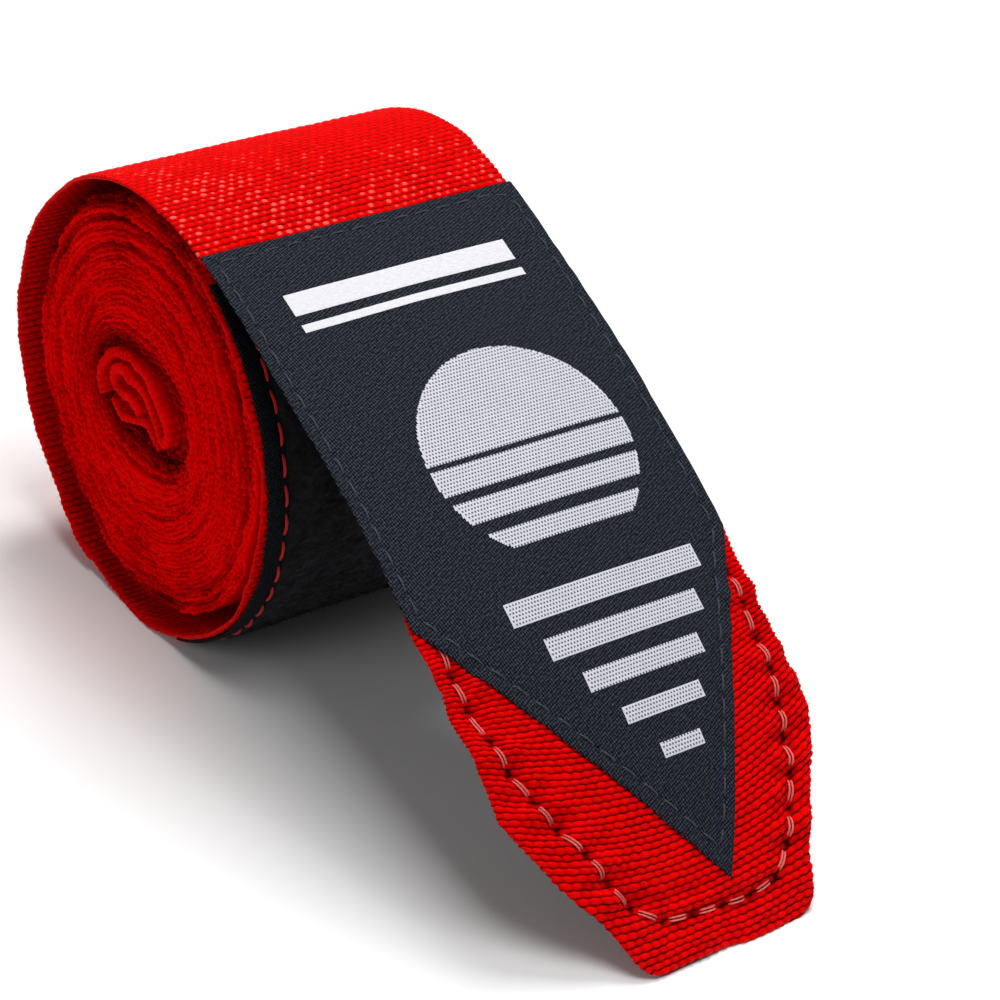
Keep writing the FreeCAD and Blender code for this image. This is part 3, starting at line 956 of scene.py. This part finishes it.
def pack_edge_depth(side, turn_radius, angle):
    """How far each turn's edge sits inside the tape's half width: the turns are not quite level."""
    around = angle * turn_radius
    slow = 0.40 * noise(np.cos(angle) * turn_radius / 7, np.sin(angle) * turn_radius / 7, 61 + side)
    rough = 0.30 * noise(around / 1.7, turn_radius / 0.42, 63 + side)
    uneven = 0.32 * noise(around / 16, turn_radius / 0.8, 65 + side)
    groove = 1.2 * np.exp(-((turn_radius - 26.2) / 0.6) ** 2) * (0.6 + 0.4 * np.cos(angle - 0.6))
    second = 0.8 * np.exp(-((turn_radius - 22.6) / 0.5) ** 2) * (0.5 + 0.5 * np.cos(angle + 0.9))
    dish = 1.1 * np.exp(-((turn_radius - 8.6) / 2.4) ** 2)
    outermost = 1.5 * ramp(turn_radius, 26.8, 28.6) * (0.5 - 0.5 * np.sin(angle))
    return 0.45 + slow + rough + uneven + groove + second + dish + outermost


def pack_part(name, start, end):
    """A length of the tight turns. Only their edges show, so they are fine there and plain between."""
    v = with_end_rows(np.linspace(start, end, int((end - start) / 0.25) + 1))
    y, z, angle = PATH.at(v)
    radius = np.hypot(y - CORE_CENTRE[0], z - CORE_CENTRE[1])
    rib = rib_number(np.zeros_like(v), v) + 0.25 * noise(v / 2.0, 0.0, 66)
    t, sharp = knuckles(rib)
    knuckle = 0.42 * sharp
    own = 0.45 * (lattice(np.floor(rib), 3, 67) - 0.5) * (1 - t * t)
    depth = {side: pack_edge_depth(side, radius, angle) for side in (-1, 1)}
    edges = [side * (HALF_WIDTH - depth[side] - knuckle + own) for side in (-1, 1)]
    inset = np.array([0.0, 0.07, 0.18, 0.34, 0.6, 1.4, 4.0])
    u = inset_columns(edges, inset)
    tilt = 0.16 * (lattice(np.floor(rib), 9, 68) * 2 - 1) * (1 - t * t)
    lean = (tilt + 0.10 * noise(v / 0.9, 2.0, 69))[:, None] * np.exp(-edge_gap(u, edges) / 0.8)
    ribbed = np.clip(1 - np.abs(t) ** 3, 0, 1)[:, None] * np.ones(u.shape[1])
    top = 0.24 + 0.06 * ribbed + lean
    bottom = -0.24 - 0.06 * ribbed + lean
    sunk = np.where(u < 0, depth[-1][:, None], depth[1][:, None])
    # painted shade: edges that sit deeper in the end face are darkened through the relief field
    relief = np.clip(0.55 + 0.45 * ribbed - 0.95 * np.clip(sunk - 0.45, -0.3, 1.2), -0.3, 1.2)
    tint = np.broadcast_to(lattice(np.floor(rib), 1, 70)[:, None], u.shape)
    return cloth_shell(name, u, v, edges, top, bottom, [RED_FELT], rim=0.30, stride=1,
                       fields={"relief": (relief, relief), "tint": (tint, tint)})


# --- label ---

def label_edges(v):
    slope = np.clip((v - LABEL_SHOULDER) / (LABEL_POINT - LABEL_SHOULDER), 0, 1)
    left = -LABEL_HALF_WIDTH + (LABEL_HALF_WIDTH + LABEL_POINT_OFFSET) * slope
    right = LABEL_HALF_WIDTH + (LABEL_POINT_OFFSET - LABEL_HALF_WIDTH) * slope
    frayed = 0.10 * noise(v / 2.2, 1.0, 81), 0.10 * noise(v / 2.2, 7.0, 81)
    return left + frayed[0], right - frayed[1]


def stripe(value, low, high):
    return (value > low) & (value < high)


def label_pattern(u, v):
    """0 for the dark ground, 1 for light yarn, 2 for white yarn: two stripes, a sliced disc and bars."""
    pattern = np.zeros(u.shape, int)
    for start, end in STRIPES:
        pattern[(np.abs(u) < STRIPE_HALF_WIDTH) & stripe(v, start, end)] = 2
    disc = np.hypot(u - DISC_CENTRE[0], v - DISC_CENTRE[1]) < DISC_RADIUS
    pattern[disc & (v < DISC_END)] = 1
    for k in range(3):
        slice_top = SLICES_START + SLICE_PITCH * k
        pattern[stripe(v, slice_top, slice_top + 0.7 + 0.5 * k)] = 0
    for k in range(BARS):
        top = BARS_START + BAR_PITCH * k
        half = 15.2 - 3.0 * k
        pattern[stripe(v, top, top + 3.4 - 0.35 * k) & (np.abs(u - 3.3 - 0.1 * k) < half)] = 1
    return pattern


def inside_of(area):
    """The cells of an area that have no neighbour outside it across the tape."""
    kept = area.copy()
    kept[:, 1:] &= area[:, :-1]
    kept[:, :-1] &= area[:, 1:]
    return kept


def label_height(u, v, light):
    row = distance_to(LABEL_ROW[np.abs(LABEL_ROW[:, 1] - v.mean()) < 14], u, v)
    hole = distance_to(LABEL_HOLES[np.abs(LABEL_HOLES[:, 1] - v.mean()) < 14], u, v)
    thread = 0.045 * (lattice(np.round(u / THREAD_ACROSS), np.round(v / THREAD_ALONG), 84) - 0.5)
    height = LABEL_FACE + 0.045 * light + 0.05 * noise(u / 4.0, v / 4.5, 83) + thread
    return height - 0.12 * np.exp(-(row / 0.8) ** 2) - 0.24 * np.exp(-(hole / 0.3) ** 2)


def label_part(k):
    start, end = strip_range(k, LABEL_TOP, LABEL_POINT)
    v = with_end_rows(np.linspace(start, end, int(round((end - start) / THREAD_ALONG)) + 1))
    edges = label_edges(v)
    columns = np.arange(-105, 106) * THREAD_ACROSS
    u, vv = cut_to(edges, columns, v)
    cell_u = (columns[:-1] + columns[1:]) / 2
    cell_v = (v[:-1] + v[1:]) / 2
    cu, cv = np.meshgrid(cell_u, cell_v)
    pattern = label_pattern(cu, cv)
    across = np.arange(len(cell_u))[None, :]
    along = np.round(cell_v / THREAD_ALONG).astype(int)[:, None]
    tied = (along % 2 == 0) & ((across + along // 2) % 2 == 0)
    pattern = np.where(tied & inside_of(pattern == 1), 3, pattern)
    light = label_pattern(u, vv) > 0
    top = label_height(u, vv, light)
    if k == 0:
        top = top - 0.22 * (1 - ramp(vv, LABEL_TOP, LABEL_TOP + 0.4))
    bottom = np.full(u.shape, LABEL_BACK)
    return cloth_shell(
        f"label_cloth_{k}" if k else "label_top_edge", u, v, edges, top, bottom,
        [BLACK_SATIN, GREY_YARN, WHITE_YARN, TIE_YARN], rim=0.32, rim_end=LABEL_POINT if k == LAST else None,
        stride=4, top_slots=pattern,
    )


# --- hook panel ---

def hook_edges(v):
    taper = np.clip((v - HOOK_TAPER_START) / (HOOK_END - HOOK_TAPER_START), 0, 1)
    half = HOOK_HALF_WIDTH + (HOOK_END_HALF_WIDTH - HOOK_HALF_WIDTH) * taper
    return TIP_CENTRE * taper - half, TIP_CENTRE * taper + half


def hook_part(k):
    start, end = strip_range(k, HOOK_TOP, HOOK_END)
    v = with_end_rows(np.linspace(start, end, max(4, int((end - start) / 0.5) + 1)))
    edges = hook_edges(v)
    u, vv = cut_to(edges, np.linspace(-HOOK_HALF_WIDTH, HOOK_HALF_WIDTH, 95), v)
    bottom = HOOK_BACK + 0.03 * noise(u / 0.6, vv / 0.6, 91)
    top = np.full(u.shape, -0.36)
    return cloth_shell(f"hook_tape_{k}" if k else "hook_tape_top_edge", u, v, edges, top, bottom,
                       [HOOK_PLASTIC], rim=0.2, rim_end=HOOK_END if k == LAST else None, stride=1)


def hook_field(k):
    """Small bent filaments over the under face, in staggered rows."""
    start, end = strip_range(k, HOOK_TOP + 1.0, HOOK_END - 1.2)
    lines = []
    for number in range(int(start / 1.5) + 1, int(end / 1.5) + 1):
        v = number * 1.5
        if not start <= v < end:
            continue
        left, right = (side[0] for side in hook_edges(np.array([v])))
        for u in np.arange(left + 2.2 + 0.55 * (number % 2), right - 2.2, 1.1):
            turn = math.radians(25 if number % 2 else -25) + RANDOM.normal(0, 0.15)
            s = np.linspace(0, 1, 6)
            forward = 0.42 * np.sin(s * math.pi * 1.15)
            drop = HOOK_BACK + (HOOK_TIPS - HOOK_BACK) * np.sin(s * math.pi * 0.72)
            lines.append(place(u + forward * math.sin(turn), v + forward * math.cos(turn), drop))
    return tubes(f"hooks_{k}", np.array(lines), 0.085, [HOOK_PLASTIC], sides=4)


# --- loop panel ---

def on_front(angle):
    """Distance along the tape of an angle from the top on the front half turn."""
    return BACK_START - math.radians(180 + LIFT_ANGLE - angle) * FRONT_RADIUS


def loop_panel():
    v = np.linspace(on_front(PANEL_START), on_front(PANEL_END), 270)
    left = -PANEL_HALF_WIDTH + 0.12 * noise(v / 3, 1.0, 95)
    right = PANEL_HALF_WIDTH + 0.12 * noise(v / 3, 5.0, 95)
    u, vv = cut_to((left, right), np.linspace(-PANEL_HALF_WIDTH - 0.2, PANEL_HALF_WIDTH + 0.2, 190), v)
    inside = ramp(PANEL_STITCH_ROW - 0.6 - np.abs(u), 0, 1.0)
    from_end = np.minimum(vv - v[0], v[-1] - vv)
    inside = inside * ramp(from_end, 1.8, 3.0)
    tufts = 0.16 * noise(u / 0.55, vv / 0.55, 96) + 0.12 * noise(u / 1.6, vv / 1.6, 97)
    stitched = 0.30 * np.exp(-((np.abs(u) - PANEL_STITCH_ROW) / 0.6) ** 2)
    top = PANEL_FACE - 0.18 + inside * (0.12 + tufts) - stitched
    bottom = np.full(u.shape, 0.34)
    middle_u = (u[:-1, :-1] + u[1:, 1:]) / 2
    slots = (np.abs(middle_u) > PANEL_STITCH_ROW - 0.5).astype(int)
    return cloth_shell("loop_panel_cloth", u, v, (left, right), top, bottom, [BLACK_PILE, BLACK_MARGIN],
                       rim=0.35, stride=4, top_slots=slots)


def loop_pile():
    """The brushed loops: short arcs of fibre lying every way."""
    count = 5200
    u = RANDOM.uniform(-20.6, 20.6, count)
    v = RANDOM.uniform(on_front(PANEL_START) + 2.4, on_front(PANEL_END) - 2.4, count)
    turn = RANDOM.uniform(0, 2 * math.pi, count)
    reach = RANDOM.uniform(0.5, 1.3, count)
    lift = RANDOM.uniform(0.1, 0.38, count)
    lines = []
    for s in np.linspace(0, 1, 6):
        forward = (s - 0.5) * reach
        side = 0.2 * reach * np.sin(s * 5 + turn)
        height = PANEL_FACE - 0.1 + lift * math.sin(math.pi * s)
        lines.append(place(u + forward * np.cos(turn) - side * np.sin(turn),
                           v + forward * np.sin(turn) + side * np.cos(turn), height))
    return tubes("loop_panel_pile", np.stack(lines, axis=1), 0.03, [BLACK_PILE], sides=3, ends=False)


# --- sewing ---

def stitches(name, pairs, surface, lift, radius, material, threads=((0.0, 0.0),), gap=0.35, steps=9, face=1):
    """Arched threads between pairs of holes, lift above surface, on the outer face (1) or inner (-1).

    Threads are the sideways place and sway of each parallel thread.
    """
    lines = []
    for a, b in pairs:
        along = b - a
        size = np.linalg.norm(along)
        along = along / size
        across = np.array([-along[1], along[0]])
        for offset, spread in threads:
            s = np.linspace(0, 1, steps)
            far = gap + (size - 2 * gap) * s
            sway = offset + spread * np.sin(math.pi * s)
            u = a[0] + along[0] * far + across[0] * sway
            v = a[1] + along[1] * far + across[1] * sway
            rise = np.sin(math.pi * s) ** 0.55
            lines.append(place(u, v, surface + face * ((STITCH_DEPTH + lift) * rise - STITCH_DEPTH)))
    return tubes(name, np.array(lines), radius, [material], sides=6, twist=5.0)


def sewn(name, holes, start, end, **how):
    """The stitches of a row whose middles lie in one strip."""
    pairs = [(a, b) for a, b in zip(holes, holes[1:]) if start <= (a[1] + b[1]) / 2 < end]
    return stitches(name, pairs, **how)


# --- core ---

def band(name, outline, low, high, thickness, material, seed):
    """A folded band seen end on: its path in the side plane, swept along the axis."""
    path = resample(outline, 0.22, smooth=True)
    ahead = np.gradient(path, axis=0)
    ahead /= np.linalg.norm(ahead, axis=1, keepdims=True)
    normal = np.stack([-ahead[:, 1], ahead[:, 0]], -1)
    far = np.arange(len(path)) * 0.22
    inset = np.array([0.0, 0.08, 0.2, 0.42, 0.9, 2.4])
    knuckle = 0.35 * np.abs(np.sin(math.pi * far / 0.95 + noise(far / 2, 0.0, seed)))
    edges = (low - knuckle * 0.5 + 0.5 * noise(far / 4.0, 1.0, seed),
             high + knuckle * 0.5 + 0.3 * noise(far / 4.0, 2.0, seed))
    x = inset_columns(edges, inset)
    gap = edge_gap(x, edges)
    ribs = 0.12 * np.abs(np.sin(math.pi * far / 0.95))[:, None]
    lean = (0.3 * noise(far / 1.8, 4.0, seed))[:, None] * np.exp(-gap / 1.6)
    half = (thickness / 2 + ribs - 0.06) * rounded(gap, 0.4)
    sheets = []
    for sign in (1, -1):
        offset = lean + sign * half
        y, z = (path[:, i:i + 1] + normal[:, i:i + 1] * offset for i in (0, 1))
        sheets.append(np.stack([x, y, z], -1))
    rows, columns = x.shape
    points = np.concatenate([s.reshape(-1, 3) for s in sheets])
    quads = np.concatenate([grid_quads(rows, columns), grid_quads(rows, columns, rows * columns, flip=True)])
    first = rows * columns
    last = (rows - 1) * columns
    ends = []
    for c in range(columns - 1):
        ends.append([c, c + 1, first + c + 1, first + c])
        ends.append([first + last + c, first + last + c + 1, last + c + 1, last + c])
    uv = np.stack([x, np.broadcast_to(far[:, None], x.shape)], -1).reshape(-1, 2)
    uv = np.concatenate([uv, uv])
    relief = np.clip(1 - ribs * 3, 0, 1) * np.ones(columns)
    fields = {"relief": np.concatenate([relief.ravel()] * 2), "tint": np.full(len(points), 0.5)}
    return build_mesh(name, points, quads, uv, [material], ends, fields, weld=True), far[-1]


THUMB_LOOP = [
    (8.6, 31.2), (9.9, 34.0), (8.3, 37.0), (4.0, 39.0), (-1.6, 38.9), (-6.0, 36.6), (-8.2, 33.2),
    (-7.0, 31.0), (-4.6, 32.6), (-1.2, 35.6), (2.4, 36.9), (5.6, 36.2), (6.6, 34.0), (4.6, 32.6),
    (1.6, 33.4), (-0.6, 32.2),
]
INNER_END = [
    (7.2, 30.6), (4.4, 29.6), (1.0, 30.3), (-1.8, 31.4), (-3.9, 30.4), (-6.0, 29.4),
]


# --- assembly ---

def tail_point(v):
    return Vector(place(0.0, v, 0.0).tolist()) * MM


def hang(piece, k):
    """A tail piece bends over the fold in its middle, from one segment to the next."""
    if k == 0:
        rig.blend(piece, "roll", "tail_1", start=tail_point(-4.6), end=tail_point(4.6))
    else:
        fold = k * SEGMENT
        reach = SEGMENT / 2 - 0.2
        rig.blend(piece, f"tail_{k}", f"tail_{k + 1}",
                 start=tail_point(fold - reach), end=tail_point(fold + reach))


def strip_nodes(kind, k):
    """The CAD nodes that a strip stands for: the first strip has none, and the last one has two."""
    return [f"{kind}_{n}" for n in (k, k + 1) if 0 < k and (n == k or k == LAST)]


def fit(piece, k, slot, nodes=()):
    """Hangs a piece on strip k of the tail, with its material slot and the nodes it replaces."""
    hang(piece, k)
    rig.slot(piece, slot)
    if nodes:
        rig.replaces(piece, *nodes)
    return piece


def on_roll(piece, slot, *nodes):
    """Fixes a piece to the roll, with its material slot and the nodes it replaces."""
    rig.ride(piece, "roll")
    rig.slot(piece, slot)
    if nodes:
        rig.replaces(piece, *nodes)
    return piece


def tail_sewing(k):
    """The stitches round the label, and the row round the hook panel on the under face."""
    label_row = sewn(f"label_sewing_{k}", LABEL_HOLES, *strip_range(k, 0, 110), surface=LABEL_FACE - 0.12,
                     lift=0.14, radius=0.12, material=BLACK_THREAD)
    fit(label_row, k, "black_thread", strip_nodes("label_stitching", k))
    under_row = sewn(f"hook_sewing_under_{k}", UNDER_HOLES, *strip_range(k, 0, 112), surface=HOOK_BACK,
                     lift=0.10, radius=0.12, material=RED_THREAD, threads=DOUBLE_THREAD, gap=0.6, face=-1)
    return label_row, fit(under_row, k, "red_thread")


def double_sewing(k):
    """The red double row that shows on the tape's end, its pink a painted glint."""
    row = sewn(f"hook_sewing_{k}", HOOK_HOLES, *strip_range(k, 0, 112), surface=0.08,
               lift=0.14, radius=0.13, material=RED_THREAD_PAINTED_GLINT, threads=DOUBLE_THREAD, gap=0.95)
    nodes = [f"hook_stitching_{k + 1}"]
    if k == FIRST_BARE:
        nodes.append(f"hook_stitching_{k}")
    return fit(row, k, "pink_thread", nodes)


def make_strip(k):
    """Strip k of the tail: tape, label, hook panel, sewing and loose fibres."""
    tape = fit(tail_tape(k), k, "red_tape", strip_nodes("tail_tape", k))
    label = fit(label_part(k), k, "label_satin", strip_nodes("label", k))
    hook = fit(hook_part(k), k, "hook_tape", strip_nodes("hook_panel", k))
    hooks = fit(hook_field(k), k, "hook_tape")
    label_row, under_row = tail_sewing(k)
    on_tape = []
    if k == 0:
        on_tape = [label, hook, hooks, label_row, under_row]
    elif k >= FIRST_BARE:
        on_tape = [double_sewing(k)]
    start, end = strip_range(k, TAIL_ROOT, TAIL_LENGTH)
    loose = fit(edge_fuzz(f"tape_tail_fibres_{k}", start, end, tail_edges, 9), k, "red_tape")
    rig.sheet(tape, **flat_cut(tail_edges, start, end), held="hung", with_pieces=[loose, *on_tape],
             rests_on=["tape_outer_turn_1" if k == 0 else f"tape_tail_{k - 1}"])
    if k:
        reach = strip_range(k, LABEL_TOP, LABEL_POINT)
        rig.sheet(label, **flat_cut(label_edges, *reach), held="laid", rests_on=[tape],
                 with_pieces=[label_row])
        reach = strip_range(k, HOOK_TOP, HOOK_END)
        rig.sheet(hook, **flat_cut(hook_edges, *reach), held="laid", rests_on=[tape],
                 with_pieces=[hooks, under_row])


def make_tail():
    for k in range(LAST + 1):
        make_strip(k)


def flat_cut(edges, start, end):
    v = np.linspace(start, end, 80)
    left, right = edges(v)
    width = right - left
    return {
        "flat": (float(width.max()) * MM, (end - start) * MM),
        "area": float(width.mean()) * (end - start) * MM * MM,
    }


def edge_fuzz(name, start, end, edges_of, per_mm):
    """A few loose fibres along both selvedges; the label presses most of them flat."""
    v = np.sort(RANDOM.uniform(start + 0.1, end - 0.1, int(per_mm * (end - start))))
    bare = (v < LABEL_TOP + 1) | (v > LABEL_SHOULDER - 2)
    v = v[bare | (RANDOM.uniform(0, 1, len(v)) < 0.08)]
    count = len(v)
    left, right = edges_of(v)
    side = RANDOM.integers(0, 2, count)
    u = np.where(side == 1, right, left) * 0.997
    lean = scattered(np.where(side == 1, 1.0, -1.0), 0.5)
    roots = place(u, v, RANDOM.uniform(-0.15, 0.3, count))
    return fuzz(name, roots, lean, 0.38, 0.02, [RED_FIBRE])


def scattered(across, spread):
    """Directions that point across the tape, each turned a little its own way."""
    count = len(across)
    return np.stack([across, RANDOM.normal(0, spread, count), RANDOM.normal(0, spread, count)], -1)


def hang_turn(part, fibres, length, below):
    """Puts a part of a wound turn, with its loose fibres, on the roll."""
    for piece in (part, fibres):
        on_roll(piece, "red_tape")
    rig.sheet(part, flat=(2 * HALF_WIDTH * MM, length * MM), held="stretched", rests_on=below,
             with_pieces=[fibres])


def lengths(first, last, count):
    """Equal lengths of a run of tape, numbered from its outer end, the innermost first."""
    breaks = np.linspace(first, last, count + 1)
    return zip(range(count, 0, -1), breaks, breaks[1:])


def make_outer_turn():
    fine = spaced(WEAVE_REACH, 0.18)
    for number, start, end in lengths(BACK_START, TAIL_ROOT, 5):
        part = outer_turn(f"tape_outer_turn_{number}", start, end, 8, fine, 2, OUTER_SEED)
        rim = edge_fuzz(f"tape_outer_fibres_{number}", start, end, lambda v: roll_edges(v, OUTER_SEED), 6)
        hang_turn(part, rim, end - start, ["tape_front_turn_1"])


def make_front_turn():
    for number, start, end in lengths(FRONT_START, BACK_START, 3):
        per_rib, coarse = (7, 0.5) if number == 1 else (5, 0.8)
        columns = spaced(WEAVE_REACH, 0.2, edge=3.0, coarse=coarse)
        part = outer_turn(f"tape_front_turn_{number}", start, end, per_rib, columns, 1, FRONT_SEED)
        rim = edge_fuzz(f"tape_front_fibres_{number}", start, end, lambda v: roll_edges(v, FRONT_SEED), 9)
        hang_turn(part, rim, end - start, ["tape_pack_1"])


def make_pack():
    for number, start, end in lengths(PACK_START, FRONT_START, 5):
        part = pack_part(f"tape_pack_{number}", start, end)
        if number == 1:
            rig.replaces(part, "tape_roll")
        hang_turn(part, end_fuzz(number, start, end), end - start, [] if number == 5 else ["tape_pack_5"])


def end_fuzz(number, start, end):
    count = 3400
    v = RANDOM.uniform(start, end, count)
    side = np.where(RANDOM.integers(0, 2, count) == 1, 1.0, -1.0)
    u = side * (HALF_WIDTH - RANDOM.uniform(0.3, 0.9, count))
    roots = place(u, v, RANDOM.uniform(-0.25, 0.25, count))
    return fuzz(f"tape_pack_fibres_{number}", roots, scattered(side * 0.8, 0.8), 0.75, 0.03, [RED_FIBRE])


def make_core():
    loop, length = band("thumb_loop_band", THUMB_LOOP, -24.8, -3.0, 1.5, RED_FELT, 101)
    on_roll(loop, "red_tape", "thumb_loop", "thumb_loop_tack")
    inner, inner_length = band("tape_inner_end", INNER_END, -24.5, 24.5, 1.1, RED_FELT, 102)
    on_roll(inner, "red_tape")
    for piece, flat in ((loop, (0.0215, length * MM)), (inner, (0.0484, inner_length * MM))):
        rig.sheet(piece, flat=flat, held="folded", rests_on=["tape_pack_5"])


def make_loop_panel():
    panel = on_roll(loop_panel(), "loop_pile", "loop_panel")
    pile = on_roll(loop_pile(), "loop_pile")
    pairs = []
    v = np.arange(on_front(PANEL_START) + 2.0, on_front(PANEL_END) - 1.0, 4.2)
    for side in (-1, 1):
        holes = [np.array([side * (PANEL_STITCH_ROW + 0.12 * math.sin(x)), x]) for x in v]
        pairs += zip(holes, holes[1:])
    sewing = stitches("loop_panel_sewing", pairs, surface=PANEL_FACE - 0.42, lift=0.24, radius=0.20,
                      material=RED_THREAD, gap=0.45)
    on_roll(sewing, "red_thread", "loop_panel_stitching")
    length = (on_front(PANEL_END) - on_front(PANEL_START)) * MM
    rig.sheet(panel, flat=(2 * PANEL_HALF_WIDTH * MM, length), held="laid", rests_on=["tape_front_turn_1"],
             with_pieces=[pile, sewing])


# --- studio ---

VIEWPOINT = (-0.21594, -0.31282, 0.24251)   # metres
VIEW_TURN = (-39.32, 31.05, 5.37)           # yaw, downward pitch and roll, in degrees
LENS = 111.05


def make_camera():
    """The viewpoint of a product photograph, about 0.45 m away with a long lens."""
    yaw, pitch, roll = (math.radians(angle) for angle in VIEW_TURN)
    right = Vector((math.cos(yaw), math.sin(yaw), 0.0))
    ahead = Vector((-math.sin(yaw) * math.cos(pitch), math.cos(yaw) * math.cos(pitch), -math.sin(pitch)))
    up = right.cross(ahead)
    tilted_right = right * math.cos(roll) + up * math.sin(roll)
    tilted_up = up * math.cos(roll) - right * math.sin(roll)
    axes = Matrix((tilted_right, tilted_up, -ahead)).transposed()
    data = bpy.data.cameras.new("camera")
    data.sensor_width = 36.0
    data.lens = LENS
    data.clip_start = 0.01
    camera = in_scene("camera", data)
    camera.matrix_world = Matrix.Translation(VIEWPOINT) @ axes.to_4x4()
    bpy.context.scene.camera = camera


def soft_light(name, toward, distance, size, power):
    data = bpy.data.lights.new(name, "AREA")
    data.shape = "RECTANGLE"
    data.size = data.size_y = size
    data.energy = power
    lamp = in_scene(name, data)
    direction = Vector(toward).normalized()
    lamp.location = Vector((0.0, -0.03, 0.03)) + direction * distance
    lamp.rotation_mode = "QUATERNION"
    lamp.rotation_quaternion = direction.to_track_quat("Z", "Y")


def make_studio():
    mesh = bpy.data.meshes.new("floor")
    mesh.from_pydata([(-4, -4, 0), (4, -4, 0), (4, 4, 0), (-4, 4, 0)], [], [(0, 1, 2, 3)])
    floor = in_scene("floor", mesh)
    paper = Shader("studio_paper", Base_Color=(0.92, 0.92, 0.92, 1), Roughness=0.9, Specular_IOR_Level=0.1)
    mesh.materials.append(paper.material)
    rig.stage(floor)
    world = bpy.data.worlds.new("studio")
    world.use_nodes = True
    world.node_tree.nodes["Background"].inputs["Color"].default_value = (1.0, 1.0, 1.0, 1)
    world.node_tree.nodes["Background"].inputs["Strength"].default_value = 0.12
    bpy.context.scene.world = world
    soft_light("key_back_right", (0.28, 0.24, 0.93), 0.9, 0.32, 5.2)
    soft_light("overhead", (0.0, -0.28, 0.96), 0.8, 0.42, 4.0)
    soft_light("left_fill", (-0.95, -0.15, 0.55), 1.2, 0.6, 2.0)
    bpy.context.scene.view_settings.view_transform = "Standard"


make_camera()
make_studio()
make_tail()
make_outer_turn()
make_front_turn()
make_pack()
make_core()
make_loop_panel()

bpy.context.view_layer.update()
visual_box = [list(corner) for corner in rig.bounds()]
with open("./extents.json", "w") as size_file:
    json.dump({"cad": CAD_BOX, "visual": visual_box}, size_file)
